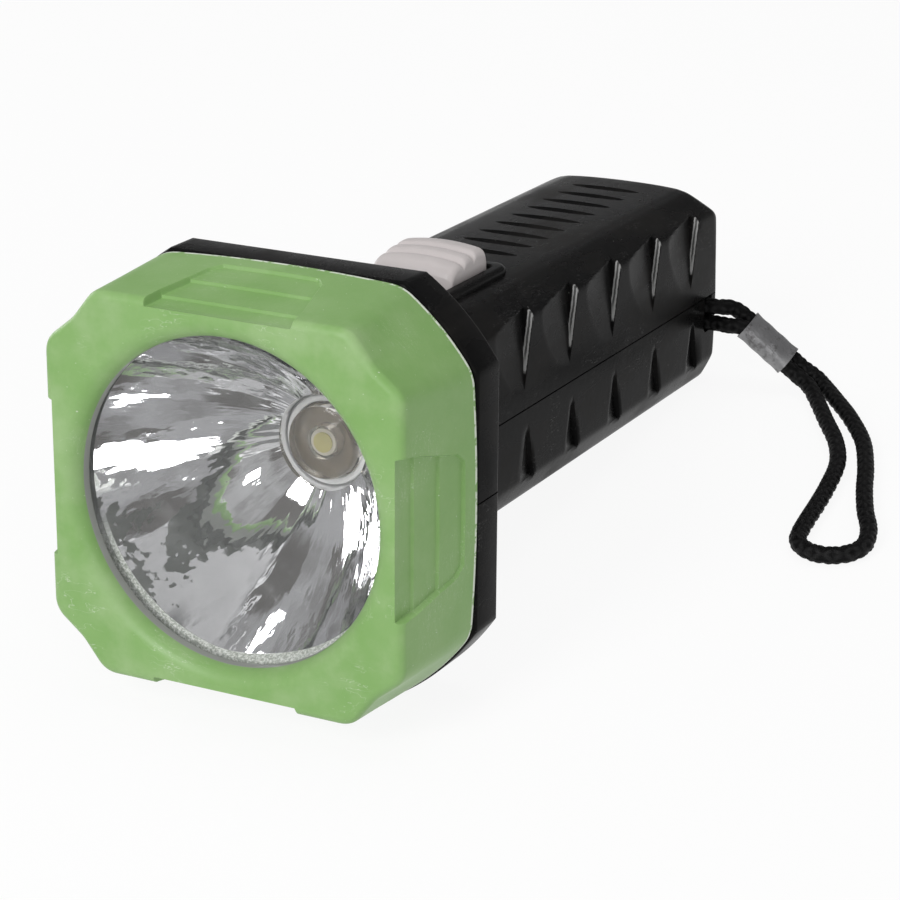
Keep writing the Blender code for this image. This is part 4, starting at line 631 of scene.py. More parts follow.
def grid_mesh(rows, closed_across=True, closed_along=False, attributes=None):
    """Quads between rows of points. What stays open is closed with one face at each end."""
    rows = np.asarray(rows, float)
    count, across = rows.shape[:2]
    index = np.arange(count * across).reshape(count, across)
    below = index if closed_along else index[:-1]
    above = np.roll(index, -1, axis=0) if closed_along else index[1:]
    if closed_across:
        quads = (below, np.roll(below, -1, axis=1), np.roll(above, -1, axis=1), above)
    else:
        quads = (below[:, :-1], below[:, 1:], above[:, 1:], above[:, :-1])
    faces = np.stack([part.ravel() for part in quads], axis=1).tolist()
    if closed_across and not closed_along:
        faces += [index[0].tolist()[::-1], index[-1].tolist()]
    if closed_along and not closed_across:
        faces += [index[:, 0].tolist(), index[:, -1].tolist()[::-1]]
    mesh = bpy.data.meshes.new("grid")
    mesh.from_pydata(rows.reshape(-1, 3).tolist(), [], faces)
    for key, values in (attributes or {}).items():
        data = mesh.attributes.new(key, "FLOAT", "POINT").data
        data.foreach_set("value", np.ravel(values).astype(np.float32))
    return mesh


def evaluated(holder):
    """The mesh that the holder's modifiers make."""
    return bpy.data.meshes.new_from_object(holder.evaluated_get(bpy.context.evaluated_depsgraph_get()))


def cut(mesh, tools):
    """The mesh with these closed meshes taken out of it."""
    holder = link("cut_holder", mesh)
    helpers = [link("cut_tool", tool) for tool in tools]
    for helper in helpers:
        modifier = holder.modifiers.new("cut", "BOOLEAN")
        modifier.operation = "DIFFERENCE"
        modifier.solver = "EXACT"
        modifier.object = helper
    made = evaluated(holder)
    for helper in [holder, *helpers]:
        bpy.data.objects.remove(helper, do_unlink=True)
    return made


def prism(outline, low, high, axis):
    """A closed solid over an outline of pairs, between two places along axis 0, 1 or 2 for x, y or z."""
    outline = np.asarray(outline, float)
    return outward(grid_mesh([np.insert(outline, axis, place, axis=1) for place in (low, high)]))


def circle(centre, radius, steps=32):
    """Pairs round a centre."""
    return [(centre[0] + radius * math.cos(2.0 * math.pi * step / steps),
             centre[1] + radius * math.sin(2.0 * math.pi * step / steps)) for step in range(steps)]


def quarter_turn(steps):
    """How far a quarter circle has come each way, from (0, 1) to (1, 0)."""
    angles = np.linspace(0.0, math.pi / 2.0, steps)
    return [(1.0 - math.cos(angle), 1.0 - math.sin(angle)) for angle in angles]


def smooth(value, low, high):
    """0 at low and 1 at high, with soft ends. Low may be the larger one."""
    share = np.clip((value - low) / (high - low), 0.0, 1.0)
    return share * share * (3.0 - 2.0 * share)


def rounded_line(points, passes=2):
    """A polyline with its corners cut off softly, its ends kept."""
    line = np.asarray(points, float)
    for _ in range(passes):
        first = line[:-1] * 0.75 + line[1:] * 0.25
        second = line[:-1] * 0.25 + line[1:] * 0.75
        middle = np.stack([first, second], axis=1).reshape(-1, line.shape[1])
        line = np.concatenate([line[:1], middle, line[-1:]])
    return line


def travelled(line):
    """How far along the polyline each of its points is."""
    return np.concatenate([[0.0], np.cumsum(np.linalg.norm(np.diff(line, axis=0), axis=1))])


def resampled(line, count):
    """The polyline at evenly spaced places."""
    line = np.asarray(line, float)
    lengths = travelled(line)
    wanted = np.linspace(0.0, lengths[-1], count)
    return np.stack([np.interp(wanted, lengths, line[:, axis]) for axis in range(line.shape[1])], axis=1)


def ring_at(y, outline):
    """The (x, z) pairs as points at this depth."""
    return np.insert(np.asarray(outline, float), 1, y, axis=1)


# Bezel
SIDE_COLUMNS = 100
CORNER_COLUMNS = 28
QUARTER_COLUMNS = SIDE_COLUMNS + CORNER_COLUMNS
CORNER_SOFTNESS = 0.006
EDGE_COLUMN_SHARES = (0.0, 0.18, 0.32, 0.68, 0.82, 1.0)
SHOULDER_SHARES = (0.0, 0.35, 0.7, 1.0)
LIP_CUT_SHARE = 2.0 - math.sqrt(2.0)
ROW_STEP = 0.00042
FINE_ROW_STEP = 0.00008
FINE_REACH = 0.0004
STEP_RISE = (-0.0001, 0.0003)
ROUNDING_COLUMNS = 40
FACE_SHARES = (0.3, 0.6, 0.85)
ARC_STEPS = 10
REAR_ARC_STEPS = 5


def head_outline(half, bow, cut_size, flute=0.0, bulge=0.0, sunk=None, side=SIDE_COLUMNS,
                 corner=CORNER_COLUMNS, edge=None):
    """Square with cut corners, (x, z) pairs from the top side's left end on. sunk gives how far a side's
    point lies in, from its place across the side. edge is where the recess ends across the side."""
    flat = half - cut_size
    share = np.linspace(-1.0, 1.0, side + 1)
    if edge is not None:
        near, wide = edge / flat, RECESS_EDGE / flat
        marks = np.array([-1.0, -near - wide, -near + wide, near - wide, near + wide, 1.0])
        share = np.interp(np.linspace(0.0, 1.0, side + 1), EDGE_COLUMN_SHARES, marks)
    out = half + bow * (1.0 - share * share)
    if sunk is not None:
        out = out - sunk(flat * share)
    quarter = np.stack([flat * share, out], axis=1)
    along = np.arange(1, corner) / corner
    kink = 1.0 - np.sqrt((2.0 * along - 1.0) ** 2 + CORNER_SOFTNESS)
    inward = (flute * kink - bulge * 4.0 * along * (1.0 - along)) * math.sqrt(0.5)
    turned = np.stack([flat + cut_size * along - inward, half - cut_size * along - inward], axis=1)
    parts = [np.concatenate([quarter, turned])]
    for _ in range(3):
        parts.append(np.stack([parts[-1][:, 1], -parts[-1][:, 0]], axis=1))
    return np.concatenate(parts)


def softened(outline, reach, corners):
    """The outline with the corners at these columns rounded, reach metres each way."""
    made = outline.copy()
    count = len(outline)
    for corner in corners:
        tip = outline[corner % count]
        before, after = (outline[(corner + step) % count] - tip for step in (-1, 1))
        pull = before / np.linalg.norm(before) + after / np.linalg.norm(after)
        for index in ((corner + step) % count for step in range(-ROUNDING_COLUMNS, ROUNDING_COLUMNS + 1)):
            distance = np.linalg.norm(outline[index] - tip)
            if distance < reach:
                made[index] = outline[index] + pull * (reach - distance) ** 2 / reach * 0.25
    return made


def recess_depth(y, across):
    """How deep the stepped recess lies at this depth and place across the side."""
    deep = RECESS_DEPTHS[0]
    for end, before, after in zip(RECESS_ENDS, RECESS_DEPTHS, (*RECESS_DEPTHS[1:], 0.0)):
        deep = deep - (before - after) * smooth(y, end + STEP_RISE[0], end + STEP_RISE[1])
    width = np.interp(y, RECESS_STATIONS, RECESS_HALF_WIDTHS)
    return deep * smooth(np.abs(across), width + RECESS_EDGE * 0.5, width - RECESS_EDGE * 0.5)


def bezel_ring(y, inset=0.0, wall=0.0, recessed=True):
    """The bezel's outline at this depth, drawn in by inset, or the inside of its wall."""
    share = min(1.0, max(0.0, (y - BEZEL_LIP) / (BEZEL_DEPTH - BEZEL_REAR_EDGE - BEZEL_LIP)))
    flute = BEZEL_FLUTE * np.interp(share, SHOULDER_SHARES, (1.0, 0.45, 0.1, 0.0))
    bulge = BEZEL_CORNER_BULGE * np.interp(share, SHOULDER_SHARES, (0.0, 0.15, 0.6, 1.0))
    half = BEZEL_FRONT_HALF + (BEZEL_REAR_HALF - BEZEL_FRONT_HALF) * share
    size = BEZEL_FRONT_CUT + (BEZEL_REAR_CUT - BEZEL_FRONT_CUT) * share
    if wall:
        return ring_at(y, head_outline(half - wall, 0.0, size - LIP_CUT_SHARE * wall))

    def sunk(across):
        return np.maximum(recess_depth(y, across) if recessed else 0.0, inset)

    width = float(np.interp(y, RECESS_STATIONS, RECESS_HALF_WIDTHS))
    bow = BEZEL_BOW * share
    made = head_outline(half - inset, bow, size - LIP_CUT_SHARE * inset, flute, bulge, edge=width)
    deep = head_outline(half, bow, size, flute, bulge, sunk, edge=width)
    corners = []
    for turn in range(4):
        start = turn * QUARTER_COLUMNS
        side = slice(start, start + SIDE_COLUMNS + 1)
        across = 1 - turn % 2
        made[side, across] = deep[side, across]
        corners += [start, start + SIDE_COLUMNS]
    return ring_at(y, softened(made, BEZEL_CORNER_ROUND, corners))


lip_outline = bezel_ring(0.0, BEZEL_LIP, recessed=False)
mouth_turns = np.arctan2(lip_outline[:, 2], lip_outline[:, 0])


def mouth_ring(y, radius):
    """A circle with a point for each one of the bezel's outline."""
    return ring_at(y, np.stack([radius * np.cos(mouth_turns), radius * np.sin(mouth_turns)], axis=1))


rows = [mouth_ring(LENS_SEAT, OPENING_RADIUS)]
rows += [mouth_ring(OPENING_ROLL * back, OPENING_RADIUS + OPENING_ROLL * out)
         for back, out in reversed(quarter_turn(ARC_STEPS))]
face_start, face_end = rows[-1], bezel_ring(0.0, BEZEL_LIP)
rows += [face_start * (1.0 - share) + face_end * share for share in FACE_SHARES]
rows += [bezel_ring(BEZEL_LIP * back, BEZEL_LIP * inset) for back, inset in quarter_turn(ARC_STEPS)]
depth = BEZEL_LIP + FINE_REACH
while depth < BEZEL_DEPTH - BEZEL_REAR_EDGE + ROW_STEP - STEP_RISE[1]:
    rows.append(bezel_ring(depth))
    close = min(abs(depth - end + STEP_RISE[0]) for end in RECESS_ENDS)
    depth += FINE_ROW_STEP if close < FINE_REACH else ROW_STEP
rows += [bezel_ring(BEZEL_DEPTH - BEZEL_REAR_EDGE * front, BEZEL_REAR_EDGE * inset)
         for inset, front in quarter_turn(REAR_ARC_STEPS)]
rows += [bezel_ring(BEZEL_DEPTH, wall=BEZEL_WALL), bezel_ring(BEZEL_POCKET_END, wall=BEZEL_WALL),
         mouth_ring(BEZEL_POCKET_END, LENS_POCKET_RADIUS), mouth_ring(LENS_SEAT, LENS_POCKET_RADIUS)]
add_piece("bezel_shell", grid_mesh(rows, closed_along=True), green, ["bezel"])

# Reflector and light source
BOWL_STEPS = 192
BOWL_ROWS = (70, 12)
BOWL_CROWDING = 0.85
RING_ARC_STEPS = 6


def lift_at(y):
    """The light source sits a little above the opening's axis, and the bowl leans up to it."""
    share = (y - MIRROR_FRONT) / (MIRROR_NECK_FRONT - MIRROR_FRONT)
    return LED_LIFT * min(1.0, max(0.0, share)) ** LIFT_POWER


def turned_piece(name, profile, look, replaced, steps=BOWL_STEPS // 2, ring=False, marked=False):
    """A solid turned round the torch's axis. A marked one keeps each point's turn and depth."""
    angles = np.arange(steps) * 2.0 * math.pi / steps
    rows = [ring_at(y, np.stack([radius * np.cos(angles), radius * np.sin(angles) + lift_at(y)], axis=1))
            for y, radius in profile]
    around = np.abs(np.linspace(-1.0, 1.0, steps, endpoint=False))
    marks = {"turn": np.tile(around, (len(profile), 1)),
             "depth": np.repeat([[y * MM_PER_M] for y, _ in profile], steps, axis=1)}
    mesh = grid_mesh(rows, closed_along=ring, attributes=marks if marked else None)
    add_piece(name, mesh, look, [replaced])


def bowl_radius(y):
    """The bowl's inside is a paraboloid between its rim and its neck."""
    share = (y - MIRROR_FRONT) / (MIRROR_NECK_FRONT - MIRROR_FRONT)
    return math.sqrt(MIRROR_RIM_RADIUS ** 2 + (MIRROR_NECK_RADIUS ** 2 - MIRROR_RIM_RADIUS ** 2) * share)


bowl = [(MIRROR_FRONT, MIRROR_RIM_RADIUS)]
for share in np.linspace(0.0, 1.0, BOWL_ROWS[0])[1:]:
    y = MIRROR_FRONT + (MIRROR_NECK_FRONT - MIRROR_FRONT) * share ** BOWL_CROWDING
    bowl.append((y, bowl_radius(y)))
bowl += [(MIRROR_THROAT, MIRROR_THROAT_RADIUS), (MIRROR_THROAT, MIRROR_THROAT_RADIUS + MIRROR_WALL)]
flange = LENS_POCKET_RADIUS - GAP
flange_back = MIRROR_FRONT + FLANGE_THICK
bowl += [(y, bowl_radius(y) + MIRROR_WALL) for y in np.linspace(MIRROR_NECK_FRONT, flange_back, BOWL_ROWS[1])]
bowl += [(flange_back, flange), (MIRROR_FRONT, flange)]
turned_piece("reflector_bowl", bowl, bowl_metal(), "reflector", BOWL_STEPS, ring=True,
             marked=True)

ring_front = MIRROR_THROAT - RING_RISE
ring_seat = MIRROR_THROAT + GAP
ring_back = ring_seat + RING_FLANGE_THICK
lip = [(ring_seat, RING_FLANGE_RADIUS), (ring_back, RING_FLANGE_RADIUS), (ring_back, RING_BORE)]
arc = quarter_turn(RING_ARC_STEPS)
lip += [(ring_front + RING_EDGE * back, RING_BORE + RING_EDGE * out) for out, back in arc]
lip += [(ring_front + RING_EDGE * back, RING_LIP_RADIUS - RING_EDGE * out) for out, back in reversed(arc)]
lip.append((ring_seat, RING_LIP_RADIUS))
turned_piece("led_ring_lip", lip, LOOKS["led_ring"], "led_ring", ring=True)

phosphor_front = DOME_CAVITY_FRONT + GAP
phosphor_back = phosphor_front + PHOSPHOR_THICK
turned_piece("dome_lens", [
    (DOME_FRONT, 0.0), (DOME_FRONT, DOME_CROWN_RADIUS * DOME_CROWN_SHARE),
    (DOME_FRONT + DOME_CROWN_DROP, DOME_CROWN_RADIUS),
    (DOME_FRONT + DOME_SHOULDER * DOME_SHOULDER_SHARE, DOME_RADIUS - DOME_SHOULDER_INSET),
    (DOME_FRONT + DOME_SHOULDER, DOME_RADIUS), (DOME_BACK, DOME_RADIUS), (DOME_BACK, DOME_CAVITY_RADIUS),
    (DOME_CAVITY_FRONT, DOME_CAVITY_RADIUS), (DOME_CAVITY_FRONT, 0.0)],
    LOOKS["led_dome"], "led_dome")
for name, start, end, radius, slot, node in (
        ("phosphor_dot", phosphor_front, phosphor_back, PHOSPHOR_RADIUS, "yellow_phosphor", "led_phosphor"),
        ("led_block", phosphor_back, DOME_BACK, PACKAGE_RADIUS, "white_carrier", "led_package")):
    turned_piece(name, [(start, 0.0), (start, radius), (end, radius), (end, 0.0)], LOOKS[node], node)

# Collar, in two halves
COLLAR_COLUMNS = (48, 24)
COLLAR_ARC_STEPS = 6


def collar_rows(upper):
    """The rows of one half, from the spigot over the outside to the hollow."""
    side, corner = COLLAR_COLUMNS

    def half_ring(y, half, size, bulge=0.0):
        """Half the outline, from the left side's middle over the top to the right side's."""
        whole = head_outline(half, 0.0, size, 0.0, bulge, side=side, corner=corner)
        made = np.roll(whole, -3 * (side + corner) - side // 2, axis=0)[:2 * (side + corner) + 1]
        if not upper:
            made = made * (1.0, -1.0)
        made[[0, -1], 1] = HALF_GAP if upper else -HALF_GAP
        return ring_at(y, made)

    def outer(y, inset=0.0):
        return half_ring(y, COLLAR_HALF - inset, COLLAR_CUT - LIP_CUT_SHARE * inset, COLLAR_CORNER_BULGE)

    spigot = BEZEL_REAR_HALF - BEZEL_WALL - GAP
    spigot_cut = BEZEL_REAR_CUT - LIP_CUT_SHARE * BEZEL_WALL
    neck = HANDLE_HALF - HANDLE_NECK_WALL
    hollow = COLLAR_HALF - COLLAR_WALL
    edge = COLLAR_EDGE
    arc = quarter_turn(COLLAR_ARC_STEPS)
    return [half_ring(SPIGOT_FRONT, spigot - SPIGOT_TAPER, spigot_cut - SPIGOT_CUT_TAPER),
            half_ring(COLLAR_FRONT, spigot, spigot_cut),
            *[outer(COLLAR_FRONT + edge * back, edge * inset) for back, inset in arc],
            outer((COLLAR_FRONT + COLLAR_BACK) / 2.0),
            *[outer(COLLAR_BACK - edge * front, edge * inset) for inset, front in arc],
            half_ring(COLLAR_BACK, neck, HANDLE_NECK_WALL),
            half_ring(COLLAR_BACK - COLLAR_BACK_WALL, neck, HANDLE_NECK_WALL),
            half_ring(COLLAR_BACK - COLLAR_BACK_WALL, hollow, COLLAR_HOLLOW_CUT),
            half_ring(SPIGOT_FRONT, hollow, COLLAR_HOLLOW_CUT)]


for name, upper in (("collar_upper", True), ("collar_lower", False)):
    mesh = grid_mesh(collar_rows(upper), closed_across=False, closed_along=True)
    add_piece(name, mesh, black_lower)

# Handle halves
FRONT_ROWS = 26
TAIL_ROWS = 12
TAIL_START_SHARES = (0.35, 0.7)
END_FACE_SHARES = (0.75, 0.5, 0.25, 0.0)
UPPER_COLUMNS = 70
LOWER_COLUMNS = 60


def mirrored(right, edge):
    """The outline from the right side's parting edge over the middle to the left side's."""
    right = right.copy()
    right[0, 1] = edge
    return np.concatenate([right, right[::-1][1:] * (-1.0, 1.0)])


def warped_stations(z, first, heights, starts, risers, wall, in_notch, between):
    """Places along the handle for a column at height z, lined up with the notches at that height."""
    begin = np.interp(z, heights, starts)
    rise = np.interp(z, heights, risers)
    places = [np.linspace(COLLAR_BACK - HANDLE_OVERLAP, first + begin, FRONT_ROWS)[:-1]]
    share = np.linspace(0.0, 1.0, in_notch + 1)[:-1]
    for index in range(NOTCH_COUNT):
        at = first + index * NOTCH_PITCH
        places.append(at + begin + (rise - begin) * (1.0 - (1.0 - share) ** NOTCH_CROWDING))
        places.append(at + rise + np.array(wall))
        if index < NOTCH_COUNT - 1:
            places.append(np.linspace(at + rise + wall[-1], at + NOTCH_PITCH + begin, between + 2)[1:-1])
    return np.concatenate(places)


def notch_floor(y, z, first, heights, starts, risers, depths, wall):
    """Half width left by the notches at this place."""
    begin = np.interp(z, heights, starts)
    rise = np.interp(z, heights, risers)
    deep = np.interp(z, heights, depths)
    deep = np.where((z < heights[0]) | (z > heights[-1] + 2.0 * NOTCH_CLEAR), -NOTCH_CLEAR, deep)
    left = np.full(y.shape, HANDLE_HALF + NOTCH_CLEAR)
    for index in range(NOTCH_COUNT):
        at = first + index * NOTCH_PITCH
        share = (y - at - begin) / (rise - begin)
        down = deep * np.clip(share, 0.0, 1.0) ** NOTCH_FALL
        up = np.clip((y - at - rise) / wall, 0.0, 1.0)
        here = HANDLE_HALF - down + (deep + NOTCH_CLEAR) * up
        left = np.minimum(left, np.where(share < 0.0, HANDLE_HALF + NOTCH_CLEAR, here))
    return left


def groove_cutter(place):
    """A dished slot across the top, blunt at the back and shallow at its ends."""
    rows = []
    for share in np.sin(np.linspace(-1.0, 1.0, GROOVE_STEPS[0]) * math.pi / 2.0) * GROOVE_ENDS:
        x = share * GROOVE_HALF_LENGTH
        wide = GROOVE_HALF_WIDTH * math.sqrt(1.0 - share * share)
        deep = GROOVE_DEPTH * (1.0 - share ** 4) + GROOVE_OVERRUN
        crown = np.interp(abs(x), *np.array(UPPER_OUTLINE[::-1]).T) + GROOVE_OVERRUN
        ring = [(x, place - wide, GROOVE_ABOVE)]
        ring += [(x, place + wide * step * (1.0 if step < 0.0 else GROOVE_BLUNT),
                  crown - deep * (1.0 - step * step) ** GROOVE_DISH)
                 for step in np.linspace(-1.0, 1.0, GROOVE_STEPS[1])]
        rows.append([*ring, (x, place + wide * GROOVE_BLUNT, GROOVE_ABOVE)])
    return outward(grid_mesh(rows))


def handle_mesh(edge, outline, columns, hollow, notches, depths, wall, counts, height, end_round, cutters):
    """One half of the handle, with the notches in its sides and these cutters taken out."""
    right = resampled(rounded_line(outline), columns)
    section = mirrored(right, edge)
    inner = mirrored(resampled(hollow, columns), edge)
    along = np.stack([warped_stations(z, *notches, wall, *counts) for z in section[:, 1]], axis=1)
    x, z = (np.tile(section[:, axis], (len(along), 1)) for axis in (0, 1))
    x = np.sign(x) * np.minimum(np.abs(x), notch_floor(along, z, *notches, depths, wall[-1]))
    rows = list(np.stack([x, along, z], axis=2))
    x, z = section.T
    ease = TAIL_SIDE_ROUND + (end_round - TAIL_SIDE_ROUND) * np.abs(z) / height
    begin = along[-1]
    rows += [np.stack([x, begin + (TAIL_END - ease - begin) * step, z], axis=1) for step in TAIL_START_SHARES]
    for inset, back in quarter_turn(TAIL_ROWS):
        flat = np.where(np.abs(z) <= HALF_GAP * 1.01, z, z * (1.0 - end_round * inset / height))
        narrow = x * (1.0 - TAIL_SIDE_ROUND * inset / HANDLE_HALF)
        rows.append(np.stack([narrow, TAIL_END - ease * back, flat], axis=1))
    pole = np.array([0.0, TAIL_END, edge])
    rows += [pole + (rows[-1] - pole) * share for share in END_FACE_SHARES]
    rows.append(np.tile([0.0, HOLLOW_BACK, edge], (len(section), 1)))
    rows += [ring_at(y, inner)
             for y in (HOLLOW_BACK, (HOLLOW_BACK + COLLAR_BACK) / 2.0, COLLAR_BACK - HANDLE_OVERLAP)]
    return cut(grid_mesh(rows, closed_across=False, closed_along=True), cutters)


def rounded_plan(half, front, back, corner, steps=8):
    """Plan outline of a rounded rectangle as (x, y) pairs."""
    plan = []
    for sign, centre_y, start in ((1.0, back - corner, 0.0), (-1.0, back - corner, 90.0),
                                  (-1.0, front + corner, 180.0), (1.0, front + corner, 270.0)):
        for step in range(steps + 1):
            angle = math.radians(start + 90.0 * step / steps)
            plan.append((sign * (half - corner) + corner * math.cos(angle),
                         centre_y + corner * math.sin(angle)))
    return plan


pocket_half = THUMB_HALF_WIDTH + GAP * 2.0
pocket_front = THUMB_FRONT - SLIDE_TRAVEL - POCKET_SPARE
pocket_back = THUMB_FRONT + THUMB_LENGTH + POCKET_SPARE
pocket_plan = rounded_plan(pocket_half, pocket_front, pocket_back, POCKET_CORNER)
add_piece("handle_upper", handle_mesh(
    HALF_GAP, UPPER_OUTLINE, UPPER_COLUMNS, UPPER_HOLLOW,
    (NOTCH_FIRST, NOTCH_HEIGHTS, NOTCH_STARTS, NOTCH_RISERS), NOTCH_DEPTHS, NOTCH_WALL, NOTCH_STEPS,
    HANDLE_TOP, TAIL_TOP_ROUND,
    [prism(pocket_plan, POCKET_FLOOR, RIM_TOP + CUT_PAST, 2),
     prism(circle(LAMP_PLACE, LAMP_RADIUS + GAP), HOLLOW_BACK - CUT_PAST, TAIL_END + CUT_PAST, 1),
     *[groove_cutter(GROOVE_FIRST + index * GROOVE_PITCH) for index in range(GROOVE_COUNT)]]),
    black_upper, ["upper_housing"])

slot_low = SLOT_TOP_Z - STRAP_SPREAD - STRAP_RADIUS - GAP
slot_front = SLOT_CENTRE - SLOT_ACROSS / 2.0
slot_back = SLOT_CENTRE + SLOT_ACROSS / 2.0
slot_outline = [(slot_front, slot_low + SLOT_CORNER), (slot_front + SLOT_CORNER, slot_low),
                (slot_back - SLOT_CORNER, slot_low), (slot_back, slot_low + SLOT_CORNER),
                (slot_back, CUT_PAST), (slot_front, CUT_PAST)]
screw_places = [(side * across, along) for across, along in (FRONT_SCREW, REAR_SCREW) for side in (-1.0, 1.0)]
add_piece("handle_lower", handle_mesh(
    -HALF_GAP, LOWER_OUTLINE, LOWER_COLUMNS, LOWER_HOLLOW,
    (SOFT_FIRST, SOFT_HEIGHTS, SOFT_STARTS, SOFT_RISERS), SOFT_DEPTHS, SOFT_WALL, SOFT_STEPS,
    HANDLE_BOTTOM, TAIL_BOTTOM_ROUND,
    [prism(circle(SOCKET_PLACE, SOCKET_BARREL + GAP), HOLLOW_BACK - CUT_PAST, TAIL_END + CUT_PAST, 1),
     prism(slot_outline, SLOT_INNER_X, HANDLE_HALF + CUT_PAST, 0),
     *[prism(circle(place, SCREW_HEAD + GAP), -HANDLE_BOTTOM - CUT_PAST, SCREW_SINK - HANDLE_BOTTOM, 2)
       for place in screw_places]]),
    black_lower, ["lower_housing"])

# The raised rim round the slide: rings of a height, and how far each is drawn in from the rim's outside
rows = [ring + [(x, y, z) for x, y in plan] for ring, plan, z in (
    ([], pocket_plan, RIM_FOOT), ([], pocket_plan, RIM_TOP - RIM_BREAK),
    ([], rounded_plan(pocket_half + RIM_BREAK, pocket_front - RIM_BREAK, pocket_back + RIM_BREAK,
                      POCKET_CORNER + RIM_BREAK), RIM_TOP))]
for inset, down in [*reversed(quarter_turn(RIM_ARC_STEPS)), (0.0, (RIM_TOP - RIM_FOOT) / RIM_ROUND)]:
    inset *= RIM_ROUND
    plan = rounded_plan(RIM_OUTER_HALF - inset, pocket_front - RIM_WALL + inset,
                        pocket_back + RIM_WALL - inset, RIM_CORNER - inset)
    rows.append([(x, y, RIM_TOP - RIM_ROUND * down) for x, y in plan])
add_piece("slide_rim", grid_mesh(rows, closed_along=True), black_lower)

# Slide
profile = resampled(rounded_line(THUMB_PROFILE), THUMB_STEPS)
shift, squeeze = THUMB_PULL_SHARES
rows = []
for share in np.sin(np.linspace(-math.pi / 2.0, math.pi / 2.0, THUMB_COLUMNS + 1)):
    x = THUMB_HALF_WIDTH * share
    past = max(0.0, abs(x) - (THUMB_HALF_WIDTH - THUMB_CORNER))
    drop = THUMB_CORNER - math.sqrt(max(0.0, THUMB_CORNER ** 2 - past ** 2))
    pull = drop * THUMB_EDGE_PULL
    low = THUMB_CROWN * share * share + drop * THUMB_EDGE_DROP
    line = [(x, THUMB_FRONT + (y * (1.0 - pull * squeeze / THUMB_LENGTH) + pull * shift), z - low)
            for y, z in profile]
    ends = [point[1] for point in line]
    rows.append([(x, min(ends), THUMB_BOTTOM), *line, (x, max(ends), THUMB_BOTTOM)])
stem_back = STEM_FRONT + 2.0 * STEM_HALF
stem = [(-STEM_HALF, STEM_FRONT), (STEM_HALF, STEM_FRONT), (STEM_HALF, stem_back), (-STEM_HALF, stem_back)]
add_piece("slide_thumb", grid_mesh(rows), slide_plastic, ["switch_thumb"], "switch", 50.0)
add_piece("slide_stem", prism(stem, STEM_BOTTOM, THUMB_BOTTOM, 2), slide_plastic,
          body="switch")

# Pan screws with a cross recess, one on each point, by a node tree


class Tree(Nodes):
    """A geometry node tree on a mesh, with named numbers as inputs."""

    def __init__(self, name, **inputs):
        super().__init__(bpy.data.node_groups.new(name, "GeometryNodeTree"))
        for way in ("INPUT", "OUTPUT"):
            self.tree.interface.new_socket("Geometry", in_out=way, socket_type="NodeSocketGeometry")
        for key, value in inputs.items():
            made = self.tree.interface.new_socket(key, in_out="INPUT", socket_type="NodeSocketFloat")
            made.default_value = value
        outputs = self.tree.nodes.new("NodeGroupInput").outputs
        self.given = {socket.name: Value(self, socket) for socket in outputs}

    def made(self, kind, **sockets):
        return self.node("GeometryNode" + kind, None, **sockets).outputs[0]

    def vector(self, **parts):
        return self.node("ShaderNodeCombineXYZ", None, **parts).outputs[0]

    def raised(self, part, height):
        return self.made("Transform", Geometry=part, Translation=self.vector(Z=height))

    def boolean(self, operation, parts, **whole):
        made = self.node("GeometryNodeMeshBoolean", {"operation": operation, "solver": "EXACT"}, **whole)
        for part in parts:
            self.tree.links.new(part, made.inputs[1])
        return made.outputs[0]

    def baked(self, geometry, mesh, values):
        """The mesh that the tree makes from this one, with its inputs set by identifier."""
        self.tree.links.new(geometry, self.tree.nodes.new("NodeGroupOutput").inputs[0])
        holder = link("tree_holder", mesh)
        modifier = holder.modifiers.new("nodes", "NODES")
        modifier.node_group = self.tree
        for item in self.tree.interface.items_tree:
            if item.item_type == "SOCKET" and item.in_out == "INPUT" and item.name in values:
                modifier[item.identifier] = values[item.name]
        made = evaluated(holder)
        bpy.data.objects.remove(holder, do_unlink=True)
        return made


under = SCREW_SINK - HANDLE_BOTTOM - GAP
screw_sizes = {"head_radius": SCREW_HEAD, "head_height": SCREW_HEAD_THICK, "shank_radius": SCREW_SHANK,
               "shank_length": SCREW_GRIP - under}
tree = Tree("cross_screws", **screw_sizes)
wide, tall, thin, long = (tree.given[key] for key in screw_sizes)
head_sides, shank_sides = SCREW_SIDES
head = tree.made("MeshCylinder", Vertices=head_sides, Radius=wide, Depth=tall)
crown = tree.made("MeshCone", Vertices=head_sides, Radius_Bottom=wide, Radius_Top=wide * SCREW_CROWN[0],
                  Depth=tall * SCREW_CROWN[1])
shank = tree.made("MeshCylinder", Vertices=shank_sides, Radius=thin, Depth=long)
solid = tree.boolean("UNION", [head, tree.raised(crown, tall * 0.5), tree.raised(shank, long * -0.5)])
arm, slit, lift = wide * SCREW_CROSS[0], wide * SCREW_CROSS[1], tall * SCREW_CROSS[2]
bars = [tree.raised(tree.made("MeshCube", Size=tree.vector(X=first, Y=second, Z=tall)), lift)
        for first, second in ((arm, slit), (slit, arm))]
crossed = tree.boolean("DIFFERENCE", bars, n0=solid)
placed = tree.made("InstanceOnPoints", Points=tree.given["Geometry"], Instance=crossed,
                   Rotation=(math.pi, 0.0, SCREW_TURN))
coated = tree.made("SetMaterial", Geometry=tree.made("RealizeInstances", Geometry=placed), Material=steel)
points = bpy.data.meshes.new("screw_points")
points.from_pydata([(x, y, under - SCREW_HEAD_THICK / 2.0) for x, y in screw_places], [], [])
add_piece("housing_screws", tree.baked(coated, points, screw_sizes), steel,
          ["housing_screw_" + place for place in ("front_left", "front_right", "rear_left", "rear_right")])

# Wrist strap


def on_table(x, y, height):
    """Straight-frame point over x and y at this height above the table."""
    return Vector((x, y, (height + FLOOR_LEVEL + math.sin(TILT) * y) / math.cos(TILT)))


